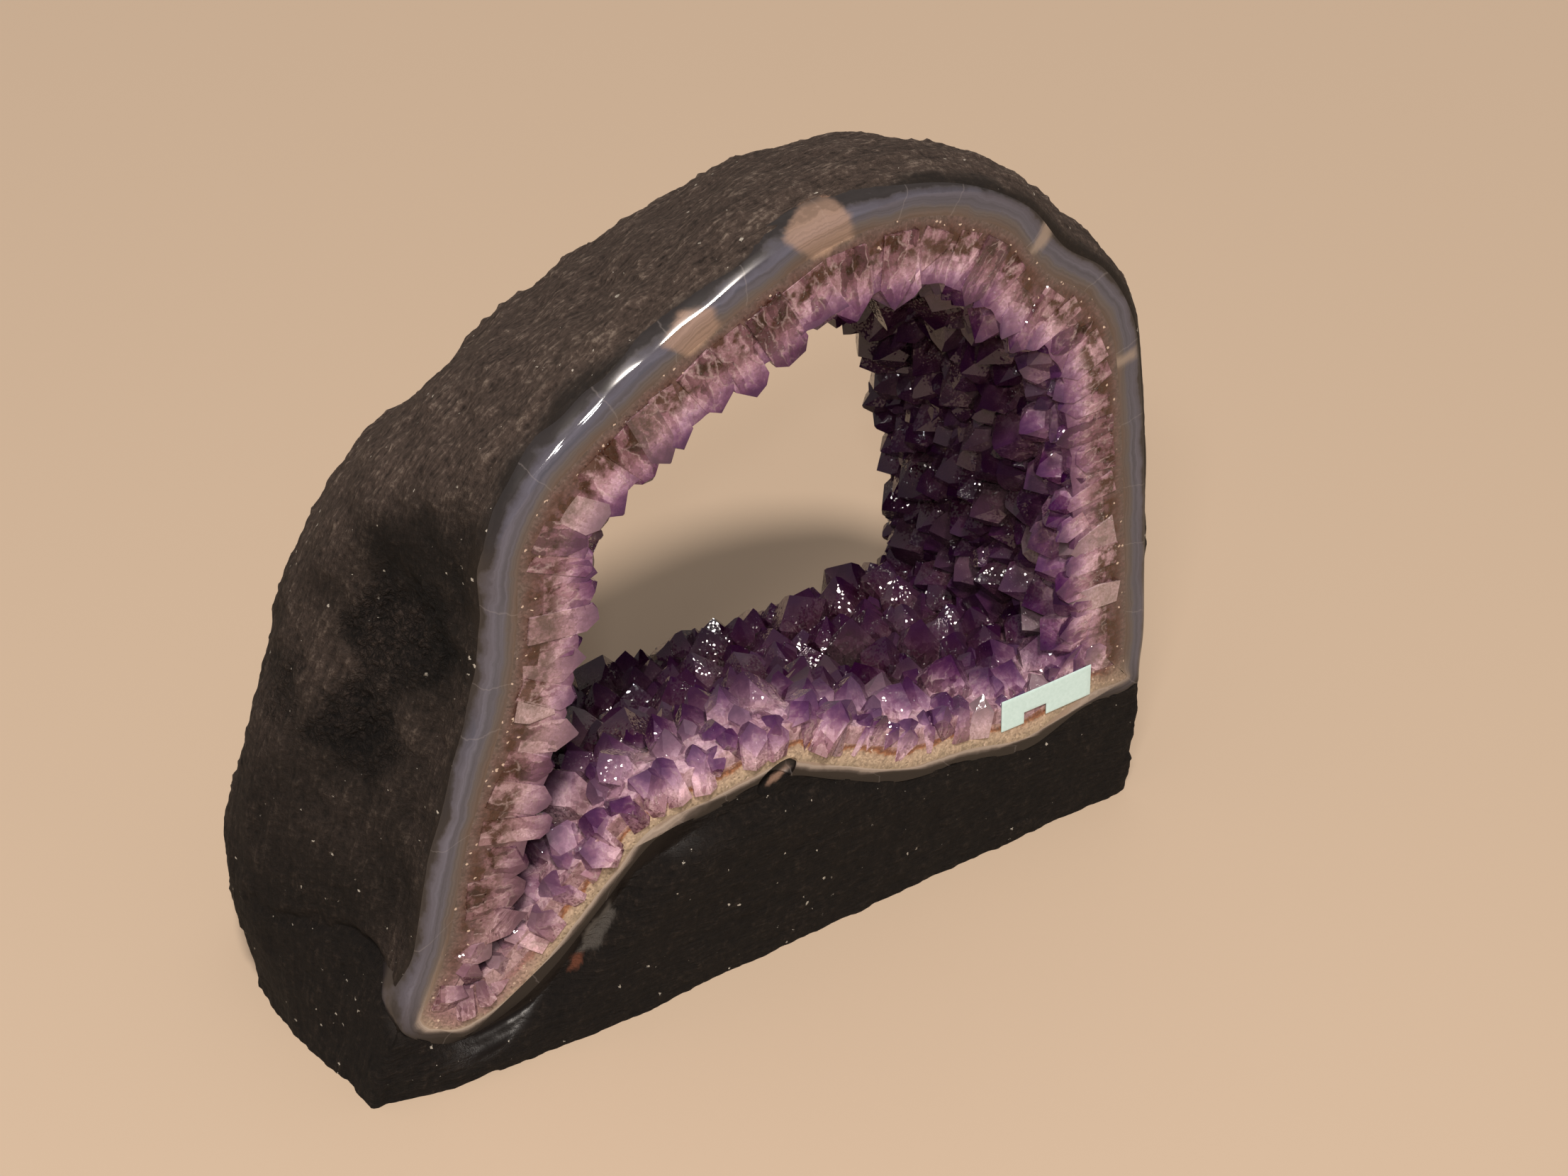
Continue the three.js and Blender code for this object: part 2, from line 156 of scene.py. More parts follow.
# The stone's outlines, as in the solid model: [x, z] in mm, clockwise from the lower left, seen from the front
stone = {
    "axis": (130, 132),  # every outline is seen whole from here
    "shoulderY": 14,
    "bellyY": 62,
    "rearY": 98,
    "backY": 114,
    "edgeRound": 7,
    "footRound": 2,
    "sillEnds": [(8, 24), (297, 46)],
    "rim": [
        (8, 29), (17, 52), (25, 82), (34, 108), (43, 132), (48, 155), (51, 179), (61, 198), (82, 215),
        (106, 230), (132, 243), (160, 254), (188, 257), (214, 252), (236, 240), (250, 224), (267, 212),
        (280, 192), (286, 165), (290, 135), (294, 100), (297, 65), (295, 46), (272, 45), (247, 37),
        (220, 42), (193, 45), (168, 56), (146, 66), (118, 63), (100, 61), (80, 44), (60, 26), (45, 17),
        (27, 13), (14, 20)],
    "shoulder": [
        (-4, -12), (-3, 5), (2, 18), (6, 30), (15, 52), (23, 82), (32, 108), (41, 132), (46, 155),
        (49, 180), (60, 200), (81, 217), (105, 232), (131, 245), (160, 256), (188, 260), (216, 256),
        (240, 245), (256, 229), (272, 216), (286, 195), (292, 166), (296, 135), (299, 100), (301, 65),
        (299, 40), (297, 16), (290, -12)],
    "belly": [
        (-7, -12), (-12, 8), (-15, 28), (-15, 46), (-12, 66), (-6, 88), (3, 112), (13, 138),
        (26, 163), (41, 184), (62, 198), (86, 213), (116, 228), (145, 240), (170, 248), (194, 250),
        (217, 246), (240, 239), (263, 229), (283, 212), (296, 186), (302, 155), (305, 120), (305, 80),
        (304, 40), (300, 0), (299, -12)],
    "rear": [
        (0, -12), (-5, 10), (-7, 30), (-6, 48), (1, 68), (10, 90), (19, 112), (28, 135), (40, 156),
        (56, 172), (77, 184), (100, 198), (128, 212), (155, 223), (180, 231), (205, 233), (229, 227),
        (251, 214), (271, 195), (284, 172), (292, 145), (296, 115), (298, 80), (298, 40), (295, -12)],
    "cavityBelly": [
        (33, 36), (24, 55), (24, 85), (32, 115), (43, 142), (57, 167), (80, 187), (110, 204), (140, 217),
        (170, 226), (200, 229), (228, 223), (252, 209), (272, 185), (283, 150), (287, 115), (287, 80),
        (283, 52), (264, 39), (230, 35), (190, 34), (150, 34), (110, 34), (70, 32), (48, 31)],
    "cavityBack": [
        (50, 40), (42, 60), (42, 88), (48, 114), (59, 138), (76, 158), (100, 175), (130, 188),
        (160, 196), (190, 199), (217, 195), (243, 185), (263, 167), (275, 140), (282, 110), (286, 75),
        (282, 48), (266, 35), (230, 30), (190, 28), (150, 28), (110, 29), (75, 32)],
    "base": [
        (11, 2), (12, 6), (22, 3), (42, 4), (60, 9), (74, 19), (86, 30), (98, 41), (112, 47), (130, 50),
        (152, 49), (170, 43), (190, 35), (215, 30), (232, 25), (252, 25), (266, 30), (284, 30),
        (285, 16), (283, 2)],
    "baseProud": [(0, 1), (12, 3), (34, 7), (140, 7), (170, 5), (200, 3.2), (234, 1.3), (300, 1)],
    "agate": (8.5, 4.5),  # thickness on the arch and on the sill
    "quartz": 8,
    "gap": 0.3,
    # angle round the axis, depth, reach across and along, how deep
    "dents": [(2.93, 34, 0.2, 13, 5), (-2.8, 52, 0.1, 9, 2.5), (1.9, 70, 0.14, 16, 2), (0.2, 66, 0.2, 18, 3)],
    "around": 720,
}
axisX, axisZ = stone["axis"]


def evenly(points, count):
    closed = np.vstack([points, points[:1]])
    run = np.concatenate([[0], np.cumsum(np.linalg.norm(np.diff(closed, axis=0), axis=1))])
    at = np.linspace(0, run[-1], count, endpoint=False)
    return np.stack([np.interp(at, run, closed[:, k]) for k in (0, 1)], 1)


def smoothOutline(points):
    # a smooth closed curve through the points, none of which pulls it into a loop
    p = np.array(points, float)
    before, after, beyond = np.roll(p, 1, 0), np.roll(p, -1, 0), np.roll(p, -2, 0)
    gaps = [
        np.linalg.norm(b - a, axis=1, keepdims=True) ** 0.5 for a, b in ((before, p), (p, after), (after, beyond))]
    leave = (p - before) / gaps[0] - (after - before) / (gaps[0] + gaps[1]) + (after - p) / gaps[1]
    arrive = (after - p) / gaps[1] - (beyond - p) / (gaps[1] + gaps[2]) + (beyond - after) / gaps[2]
    t = np.linspace(0, 1, 40, endpoint=False)[None, :, None]
    ease = 3 * t ** 2 - 2 * t ** 3
    bend = (leave * gaps[1])[:, None] * (t ** 3 - 2 * t ** 2 + t) + (arrive * gaps[1])[:, None] * (t ** 3 - t ** 2)
    return evenly((p[:, None] * (1 - ease) + after[:, None] * ease + bend).reshape(-1, 2), stone["around"])


def angleOf(points):
    return np.arctan2(points[:, 1] - axisZ, points[:, 0] - axisX)


def reachOf(outline):
    angle, reach = angleOf(outline), np.linalg.norm(outline - (axisX, axisZ), axis=1)
    order = np.argsort(angle)
    return lambda at: np.interp(at, angle[order], reach[order], period=2 * math.pi)


def smoothStep(value, low, high):
    t = np.clip((value - low) / (high - low), 0, 1)
    return t * t * (3 - 2 * t)


def archShare(angle):
    # 1 on the arch of the rim, 0 on its sill over the base
    start, end = [math.atan2(z - axisZ, x - axisX) for x, z in stone["sillEnds"]]
    soft = 0.06
    return 1 - smoothStep(angle, start - soft, start + soft) * (1 - smoothStep(angle, end - soft, end + soft))


def insetOutline(points, insetAt):
    # the outline moved in square to itself, without the folds that this makes in its corners
    fine = smoothOutline(points)
    along = np.roll(fine, -2, 0) - np.roll(fine, 2, 0)
    along /= np.linalg.norm(along, axis=1, keepdims=True)
    inset = insetAt(angleOf(fine))
    moved = np.stack([fine[:, 0] + along[:, 1] * inset, fine[:, 1] - along[:, 0] * inset], 1)
    away = np.linalg.norm(moved[:, None] - fine[None], axis=2)
    return moved[(away > 0.96 * inset[:, None] - 0.02).all(1)]


def smoothThrough(pairs, at):
    last = len(pairs) - 1
    if at <= pairs[0][0]:
        return pairs[0][1]
    if at >= pairs[last][0]:
        return pairs[last][1]
    k = max(i for i in range(last) if pairs[i][0] <= at)

    def slope(i):
        a, b = pairs[max(i - 1, 0)], pairs[min(i + 1, last)]
        return (b[1] - a[1]) / (b[0] - a[0])

    step = pairs[k + 1][0] - pairs[k][0]
    t = (at - pairs[k][0]) / step
    ease = t * t * (3 - 2 * t)
    low, high = pairs[k][1], pairs[k + 1][1]
    return low + (high - low) * ease + step * (slope(k) * t * (1 - t) ** 2 - slope(k + 1) * t * t * (1 - t))


shoulderReach, bellyReach, rearReach = [reachOf(smoothOutline(stone[k])) for k in ("shoulder", "belly", "rear")]


def swell(angle, y):
    # the skin's broad swells, and its dents
    low = 1.1 * np.sin(5 * angle + y / 19) + 0.8 * np.sin(11 * angle - y / 11 + 1)
    low = low + 0.5 * np.sin(23 * angle + y / 7 + 2)
    for at, depth, across, along, deep in stone["dents"]:
        turn = (angle - at + math.pi) % (2 * math.pi) - math.pi
        low = low - deep * np.exp(-(turn / across) ** 2 - ((y - depth) / along) ** 2)
    return low


def rockReach(angle, y):
    # the hand-held polishing leaves the front edge a little wavy
    wave = 0.25 * np.sin(13 * angle + 1) + 0.18 * np.sin(29 * angle + y / 3)
    front, rear = shoulderReach(angle) + wave, rearReach(angle)
    if y < stone["shoulderY"]:
        run = 1 - max(y, 0) / stone["shoulderY"]
        rounding = stone["footRound"] + (stone["edgeRound"] - stone["footRound"]) * archShare(angle)
        return front - rounding * (1 - math.sqrt(1 - run * run))
    rearY = stone["rearY"]
    outline = smoothThrough([
        (0, front), (stone["shoulderY"], front + 2), (stone["bellyY"], bellyReach(angle)), (rearY, rear),
        (rearY + 6, rear - 5), (rearY + 12, rear - 16), (stone["backY"], rear - 30)], y)
    return outline + smoothStep(y, stone["shoulderY"], stone["shoulderY"] + 20) * swell(angle, y)


def layerReach(insetAt):
    rim, belly, back = [reachOf(insetOutline(stone[k], insetAt)) for k in ("rim", "cavityBelly", "cavityBack")]
    return lambda angle, y: smoothThrough([
        (0, rim(angle)), (stone["shoulderY"], rim(angle)), (stone["bellyY"], belly(angle)),
        (stone["backY"], back(angle))], y)


def agateAt(angle):
    arch, sill = stone["agate"]
    return sill + (arch - sill) * archShare(angle)


def row(x, y, z):
    return np.stack([x * mm + corner[0], y * mm + corner[1], z * mm], -1)


angles = np.sort(angleOf(smoothOutline(stone["rim"])))


def ring(reach, y, at=angles):
    far = reach(at, y)
    return row(axisX + far * np.cos(at), np.full(len(at), float(y)), axisZ + far * np.sin(at))


def loft(name, rings, closed=False):
    # a disc is extruded once for each ring, and the rings are then drawn out to their outlines
    deselectAll()
    bpy.ops.mesh.primitive_circle_add(vertices=len(rings[0]), fill_type="NOTHING" if closed else "NGON")
    piece = bpy.context.object
    piece.name = piece.data.name = name
    bpy.ops.object.mode_set(mode="EDIT")
    bpy.ops.mesh.select_mode(type="VERT")
    bpy.ops.mesh.select_all(action="SELECT")
    for _ in rings[1:]:
        bpy.ops.mesh.extrude_region_move()
    bpy.ops.object.mode_set(mode="OBJECT")
    piece.data.vertices.foreach_set("co", np.concatenate(rings).astype(np.float32).ravel())
    piece.data.update()
    bpy.ops.object.mode_set(mode="EDIT")
    bpy.ops.mesh.select_all(action="SELECT")
    if closed:
        # the first and last rings share their place, so they are merged
        bpy.ops.mesh.remove_doubles(threshold=2e-6)
    bpy.ops.mesh.select_all(action="SELECT")
    bpy.ops.mesh.normals_make_consistent(inside=False)
    bpy.ops.object.mode_set(mode="OBJECT")
    return piece


shoulderSteps = [stone["shoulderY"] * (1 - math.cos(math.radians(a))) for a in np.linspace(0, 90, 15)]
envelopeDepths = shoulderSteps + [18, 23, 28, 36, 45, 54, 62, 71, 80, 89, 98, 102, 105, 107.5, 110, 112, 114]
tubeDepths = [-6, 0, 3, 7, 10.5, 14, 20, 28, 40, 51, 62, 75, 88, 101, 114, 120]

bandReach = layerReach(np.zeros_like)
agateInner = layerReach(lambda a: stone["gap"] + agateAt(a))
crystalFoot = layerReach(lambda a: 2 * stone["gap"] + agateAt(a) + stone["quartz"])


def inOutlines(points):
    # the points' x, y and z in mm, as the outlines have them
    return (points[:, 0] - corner[0]) / mm, (points[:, 1] - corner[1]) / mm, points[:, 2] / mm


def roundAxis(points):
    x, _, z = inOutlines(points)
    right, up = x - axisX, z - axisZ
    return np.arctan2(up, right), np.hypot(right, up)


# Marks on the polished front: their corners' x and z in mm, where the photo's view projects them onto the sawn face
marks = {
    "clear": [[(69, 28), (73, 37), (81, 43), (84, 38), (77, 29)]],
    "rusty": [[(66.5, 24), (67.5, 27.5), (71, 28.5), (71.5, 25), (69, 23)]],
    "beige": [
        [(140.5, 64.2), (142, 66.6), (148, 69.2), (149.5, 67.8), (146, 65.4)],
        [(108, 230), (113, 239), (124, 237), (127, 231), (116, 224)],
        [(148, 252), (154, 262), (163, 262), (171, 254), (171, 247), (158, 243)]],
    "pale": [
        [(243, 235), (245, 231), (242, 226), (236, 225.5), (238.5, 229), (241, 232.5)],
        [(282, 181), (283, 178), (275, 175.5), (271, 177.5), (276, 180.5)]],
}


def markShare(piece, name, soft=2.4):
    # 1 inside a mark, with a ragged edge
    points = coordinates(piece)
    x, y, z = inOutlines(points)
    u, v = x - 0.59 * y, z + 0.57 * y  # the photo's direction of view, so that marks lie alike on the rounded edge
    ragged = np.array([noise.fractal(Vector(p / 0.005), 1.0, 2.0, 2) for p in points])
    share = np.zeros(len(u))
    for corners in marks[name]:
        middle = np.mean(corners, 0)
        within = np.full(len(u), 1e3)
        for a, b in zip(corners, corners[1:] + corners[:1]):
            side = np.array([a[1] - b[1], b[0] - a[0]]) / math.dist(a, b)
            side = side if side @ (middle - a) > 0 else -side
            within = np.minimum(within, (u - a[0]) * side[0] + (v - a[1]) * side[1])
        share = np.maximum(share, smoothStep(within + 1.2 * ragged, -soft / 2, soft / 2))
    storeValues(piece, name, share * (1 - smoothStep(y, 18, 26)))


# Agate band
faceRings = [ring(lambda a, y: rockReach(a, y) - inset, 0) for inset in (10, 8.5, 7, 5.5, 4, 2.6, 1.2)]
envelope = loft("envelope", faceRings + [ring(lambda a, y: rockReach(a, y) + 0.12, y) for y in envelopeDepths])
agate = loft("agate", [ring(lambda a, y: bandReach(a, y) + 0.5, y) for y in tubeDepths])
combine(agate, envelope, "INTERSECT")
combine(agate, loft("innerTube", [ring(agateInner, y) for y in tubeDepths]), "DIFFERENCE")
print("agate cut")


def bandValues(points):
    # across the band from its outer side, 0, to its inner side, 1, and the run along the rim in metres
    angle, reach = roundAxis(points)
    outer, inner = np.zeros(len(points)), np.zeros(len(points))
    depth = np.clip(np.round(inOutlines(points)[1]), 0, stone["backY"])
    for k in np.unique(depth):
        here = depth == k
        outer[here], inner[here] = bandReach(angle[here], k), agateInner(angle[here], k)
    fine = smoothOutline(stone["rim"])
    step = np.linalg.norm(np.roll(fine, -1, 0) - fine, axis=1)
    run = np.concatenate([[0], np.cumsum(step)[:-1]])
    order = np.argsort(angleOf(fine))
    along = np.interp(angle, angleOf(fine)[order], run[order])
    return np.clip((outer - reach) / np.maximum(outer - inner, 1), -0.1, 1.1), along * mm, archShare(angle)


# The small open blister under the sill, in mm and degrees, and how far its black inside reaches and between which y
sillVoid = {"centre": (144.3, -0.5, 66.8), "size": (17, 9, 8.5), "turn": 25, "black": (10, 0.6, 4.6)}


def hollowOut(piece):
    wide, deep, high = sillVoid["size"]
    deselectAll()
    bpy.ops.mesh.primitive_uv_sphere_add(segments=40, ring_count=20, radius=0.5 * mm)
    tool = bpy.context.object
    turn = Matrix.Rotation(math.radians(-sillVoid["turn"]), 4, "Y") @ Matrix.Diagonal((wide, deep, high, 1))
    tool.data.transform(Matrix.Translation(row(*sillVoid["centre"])) @ turn)
    combine(piece, tool, "DIFFERENCE")


hollowOut(agate)
across, along, arch = bandValues(coordinates(agate))
x, y, z = inOutlines(coordinates(agate))
fromVoid = np.hypot(x - sillVoid["centre"][0], z - sillVoid["centre"][2])
wide, near, far = sillVoid["black"]
across[(fromVoid < wide) & (y > near) & (y < far)] = 0
for name, values in (("across", across), ("along", along), ("arch", arch)):
    storeValues(agate, name, values)
for name in ("beige", "pale"):
    markShare(agate, name)

# Rock: the envelope and the face of the base, evened out and roughened, then cut for the band
rockLook = {
    "voxel": 1.3,  # mm
    "bumps": [(17, 0.8), (8, 0.7), (2.6, 0.45)],  # size and height in mm
    "ridges": (11, 2.4, 0.6),  # length, spacing, height
    "knobs": (5.5, 0.9, 0.45, 0.35),  # spacing, height, reach as a share of the spacing, share left out
    "grains": (3.6, 0.8, 0.5),  # in the crumbly places: width, how steep their crevices are, how deep
    "clods": (6, 0.6),
    "ragged": 16,  # size of the bays in the edges between its surfaces
    # upper left, as angles; glossy under the sill between these x, and so far from the rim
    "upperLeft": (1.55, 2.0, 2.75, 3.0),
    "glossX": (12, 35, 95, 130),
    "gloss": (7, 14),
    "faceY": 8,
    # the shoulder is ground smooth up to here from the agate and rough from there, widely on the upper left only
    "ground": [(1.5, 6), (3, 13)],
    # depth, height of the coat's upper edge on the left
    "crease": [(0, 24), (8, 33), (25, 47), (60, 46), (114, 40)],
    "creaseDeep": 2.2,
    "creaseWide": 2.2,
    "creaseEnds": (25, 60, 35, 70),  # it goes out between these x and these y
    # crumbly places: x, y, z, reach, height
    "crumbs": [
        (24, 26, 150, 27, 4.2), (14, 32, 118, 22, 3.8), (0, 22, 92, 16, 2.6), (-6, 16, 66, 11, 1.8),
        (4, 60, 120, 15, 1.5)],
    "wrapReach": 130,  # the ridges' pattern is wrapped round a pipe of this radius
}
rock = loft("rock", [ring(rockReach, y) for y in envelopeDepths])
baseRings = []
for turn in np.radians(np.linspace(0, 90, 7)):
    edge = evenly(insetOutline(stone["base"], lambda a: np.full_like(a, -9 * math.sin(turn))), 240)
    proud = np.array([smoothThrough(stone["baseProud"], x) for x in edge[:, 0]])
    baseRings.append(row(edge[:, 0], -proud * math.cos(turn), edge[:, 1]))
baseRings.append(row(edge[:, 0], np.full(240, 13.0), edge[:, 1]))
combine(rock, loft("baseFace", baseRings), "UNION")
addModifier(rock, "REMESH", mode="VOXEL", voxel_size=rockLook["voxel"] * mm)
addModifier(rock, "SMOOTH", factor=0.5, iterations=2)
print("rock evened out:", len(rock.data.polygons), "faces")


def rockValues(points):
    x, y, z = inOutlines(points)
    angle, reach = roundAxis(points)
    rim, arch = bandReach(angle, 0), archShare(angle)
    ragged = np.array([noise.fractal(Vector(p / (rockLook["ragged"] * mm)), 1.0, 2.0, 3) for p in points])
    nearRim = np.hypot(np.maximum(reach - rim, 0), np.maximum(y - 3, 0))
    start, full, fade, end = rockLook["upperLeft"]
    upperLeft = smoothStep(angle, start, full) * (1 - smoothStep(angle, fade, end))
    (low, high), (lowWide, highWide) = rockLook["ground"]
    low, high = low + (lowWide - low) * upperLeft, high + (highWide - high) * upperLeft
    values = {"ground": (1 - smoothStep(nearRim + (2 + 3 * upperLeft) * ragged, low, high)) * arch}
    start, full, fade, end = rockLook["glossX"]
    underSill = smoothStep(x, start, full) * (1 - smoothStep(x, fade, end)) * (y < rockLook["faceY"])
    values["gloss"] = (1 - smoothStep(nearRim + 3 * ragged, *rockLook["gloss"])) * (1 - arch) * underSill
    overCrease = z + 3 * ragged - np.array([smoothThrough(rockLook["crease"], d) for d in y])
    values["coat"] = np.where(arch > 0.5, 1 - smoothStep(overCrease, -1, 1), 1.0)
    fold = np.exp(-(overCrease / rockLook["creaseWide"]) ** 2)
    fade, end, fadeY, endY = rockLook["creaseEnds"]
    values["crease"] = fold * (1 - smoothStep(x, fade, end)) * (1 - smoothStep(y, fadeY, endY)) * (arch > 0.3)
    values["crumb"] = np.zeros(len(x))
    for cx, cy, cz, size, high in rockLook["crumbs"]:
        away = np.sqrt((x - cx) ** 2 + (y - cy) ** 2 + (z - cz) ** 2) + 7 * ragged
        values["crumb"] = np.maximum(values["crumb"], (1 - smoothStep(away, size * 0.45, size)) * high)
    wrap = np.stack([np.cos(angle) * rockLook["wrapReach"], np.sin(angle) * rockLook["wrapReach"], y], 1)
    onFace = (arch < 0.5) & (y < 7)
    wrap[onFace] = np.stack([x, np.zeros(len(x)), z], 1)[onFace]
    values["wrap"] = wrap * mm
    return values


def skinHeight(p, wrap, coat, crumb):
    # the natural skin's height at a point, in mm, and the part of it that is finer than the swells
    (size, tall), *finer = rockLook["bumps"]
    swells = tall * noise.noise(p / size)
    fine = sum(tall * noise.noise(p / size) for size, tall in finer)
    long, apart, tall = rockLook["ridges"]
    fine += tall * (1 - 0.6 * coat) * noise.noise(Vector((wrap[0] / long, wrap[1] / long, wrap[2] / apart)))
    size, tall, reach, leftOut = rockLook["knobs"]
    away, middles = noise.voronoi(p / size)
    if noise.cell(middles[0] * 7) > leftOut:
        share = max(0, 1 - away[0] / reach)
        fine += tall * share ** 2 * (3 - 2 * share)
    if crumb > 0:
        size, steep, deep = rockLook["grains"]
        cells = noise.voronoi(p / size)[0]
        size, tall = rockLook["clods"]
        fine += crumb * (steep * min(cells[1] - cells[0], 0.5) - deep + tall * noise.noise(p / size))
    return swells + fine, fine


points, normals = coordinates(rock), coordinates(rock, "normal")
skin = rockValues(points)
y, (angle, reach) = inOutlines(points)[1], roundAxis(points)
cutAway = (reach < bandReach(angle, 0) - 2) & ((y < 1) | (y > stone["backY"] - 1))
rough = (1 - skin["ground"]) * (1 - skin["gloss"]) * np.where(cutAway, 0, 1)
lift, rise = np.zeros(len(points)), np.zeros(len(points))
for k in np.nonzero(rough > 0.01)[0]:
    both = skinHeight(Vector(points[k] / mm), skin["wrap"][k] / mm, skin["coat"][k], skin["crumb"][k])
    lift[k], rise[k] = both[0] * rough[k], both[1] * rough[k]
lift -= rockLook["creaseDeep"] * skin["crease"]
rock.data.vertices.foreach_set("co", (points + normals * lift[:, None] * mm).astype(np.float32).ravel())
rock.data.update()
lifted = KDTree(len(points))
for k, p in enumerate(coordinates(rock)):
    lifted.insert(p, k)
lifted.balance()
around = angles[::3]
combine(rock, loft("bandHole", [ring(bandReach, y, around) for y in tubeDepths[::2] + [120]]), "DIFFERENCE")
hollowOut(rock)
cutOff(rock, (0, 0, 0), (0, 0, -1), threshold=1e-6)
skin = rockValues(coordinates(rock))
for name in ("ground", "gloss", "coat", "crumb", "wrap"):
    storeValues(rock, name, skin[name])
nearest = [lifted.find(p)[1] for p in coordinates(rock)]
storeValues(rock, "rise", rise[nearest])
storeValues(rock, "dust", smoothStep(normals[nearest, 2], 0.05, 0.8))  # painted light: paler where it faces up
for name in ("beige", "clear", "rusty"):
    markShare(rock, name, 1.2)
print("rock roughened")

# Quartz lining, closed round from its outer wall over the sawn front to its inner wall
body = loft("body", [ring(rockReach, -9)] + [ring(rockReach, y) for y in envelopeDepths[14:]])
wallDepths = [0, 3, 7, 10.5, 14, 20, 28, 40, 51, 62, 75, 88, 101, 114]
agateInnerRings = [ring(agateInner, y) for y in wallDepths]
frontRings = []
for inset in np.arange(1, 8.01, 1):
    frontRings.append(ring(layerReach(lambda a: stone["gap"] + agateAt(a) + inset), 0))
footRings = [ring(crystalFoot, y) for y in wallDepths]
lining = loft("lining", agateInnerRings[::-1] + frontRings + footRings + agateInnerRings[-1:], closed=True)
liningTree = BVHTree.FromObject(lining, bpy.context.evaluated_depsgraph_get())
combine(lining, body, "INTERSECT", keep=True)
hollowOut(lining)
print("lining made:", len(lining.data.polygons), "faces")

# Crystals: quartz points are six-sided columns, and each end face stands at 38 degrees to the axis
crystalLook = {
    "seed": 11,
    "kinds": 16,
    "tipAngle": 38.2,
    # width from, to, in mm, and how many places are tried
    "sizes": [(16, 20, 130), (12.5, 16, 1100), (9, 12.5, 3500), (6, 9, 8000)],
    "spacing": (0.66, 0.74),  # between two crystals on the arch and on the floor, as a share of their mean width
    "bed": 6.5,  # the columns are grown together up to here, in mm over their foot
    "bedFront": 6.5,  # and so much further on the sawn arch
    # the narrow lower left corner, which the crystals fill from both sides: x and z, reach as an angle, height
    "corner": (20, 22, 0.12, 3.5),
    "cornerX": (62, 70),  # up to here none is very wide, and they reach far across
    "column": (0.577, 3.6),  # radius and length in widths
    "uneven": [0.05, 0.14, 0.24],  # how far the three small end faces stand back
    "stretch": (0.85, 1.18),
    # the front row on the arch and on the sill: rows of depths, widths, heights, spacing
    "frontArch": ([0, 1, 2], (7, 14), (15, 22), 0.75),
    "frontSill": ([2, 3], (6, 12), (9, 14), 0.6),
    "groups": 26,
    "apart": (0.62, 4, 14),  # two of one group: share of their widths, mm more, and mm more in the corner
    "lean": (9, 0.14, 0.24),  # of those wider than the first number, and of the others
    "longest": (0.42, 0.56),  # share of the room across the hollow, and in the corner
    "sawn": (-0.35, 0.1),  # how far behind the sawn face, in mm, those of the arch end
    "standOut": (0.3, 1.4),  # and how far before it those of the sill may
    "rootDeep": 4.5,  # the columns reach so far behind the wall of the hollow
    # points that stand out at the back of the floor: x, y, width, height of the tip
    "proud": [(171, 103, 10, 58), (240, 103, 17, 63), (198, 103, 15, 56)],
}
random.seed(crystalLook["seed"])

# Bed: the lower part of the columns, which are jammed together
bedRings = []
for raised in (0, crystalLook["bedFront"]):
    overRim = 2 * stone["gap"] + stone["quartz"] + crystalLook["bed"] + raised
    bedRings.append(layerReach(lambda a: agateAt(a) + overRim))


def bedReach(angle, y):
    front = archShare(angle) * (1 - smoothStep(y, 3, 16))
    low, high = [reach(angle, y) for reach in bedRings]
    rough = [noise.noise(Vector((20 * math.cos(a), 20 * math.sin(a), y / 5))) for a in angle]
    x, z, wide, lower = crystalLook["corner"]
    inCorner = np.exp(-((angle - math.atan2(z - axisZ, x - axisX)) / wide) ** 2)
    return low + (high - low) * front + 1.8 * np.array(rough) + lower * inCorner


bedAngles = angles[::2]
bedInner = [ring(bedReach, y, bedAngles) for y in [0.1, 2, 4.5] + list(np.arange(8, 108, 5))]
bedOuter = [ring(crystalFoot, y, bedAngles) for y in (0.1, 7, 20, 51, 80, 107)]
bedFront = [bedOuter[0] + (bedInner[0] - bedOuter[0]) * share for share in (0.2, 0.4, 0.6, 0.8)]
bed = loft("bed", bedOuter[::-1] + bedFront + bedInner + bedOuter[-1:], closed=True)
combine(bed, body, "INTERSECT", keep=True)
for name, value in (("tone", 0.5), ("whose", -1)):
    storeValues(bed, name, [value] * len(bed.data.polygons), "FACE")
print("bed made:", len(bed.data.polygons), "faces")


def crystalKind():
    # a six-sided column of width 1 with its tip at the origin, cut by six planes; three of them cut deeper
    deselectAll()
    radius, long = crystalLook["column"]
    bpy.ops.mesh.primitive_cylinder_add(vertices=6, radius=radius, depth=long, location=(0, 0, -1.6))
    piece = bpy.context.object
    bpy.ops.object.transform_apply(location=True, rotation=True, scale=True)
    bpy.ops.object.mode_set(mode="EDIT")
    steep = math.radians(90 - crystalLook["tipAngle"])
    uneven = random.choice(crystalLook["uneven"])
    for side in range(6):
        turn = math.radians(60 * side + 30)
        back = random.uniform(0.3, 1) * uneven if side % 2 else random.uniform(-0.03, 0.03)
        out = Vector((math.cos(turn) * math.sin(steep), math.sin(turn) * math.sin(steep), math.cos(steep)))
        bpy.ops.mesh.select_all(action="SELECT")
        bpy.ops.mesh.bisect(plane_co=out * back, plane_no=out, use_fill=True, clear_outer=True)
    bpy.ops.object.mode_set(mode="OBJECT")
    stretch = random.uniform(*crystalLook["stretch"])
    piece.data.transform(Matrix.Diagonal((stretch, 1 / stretch, 1, 1)))
    return piece


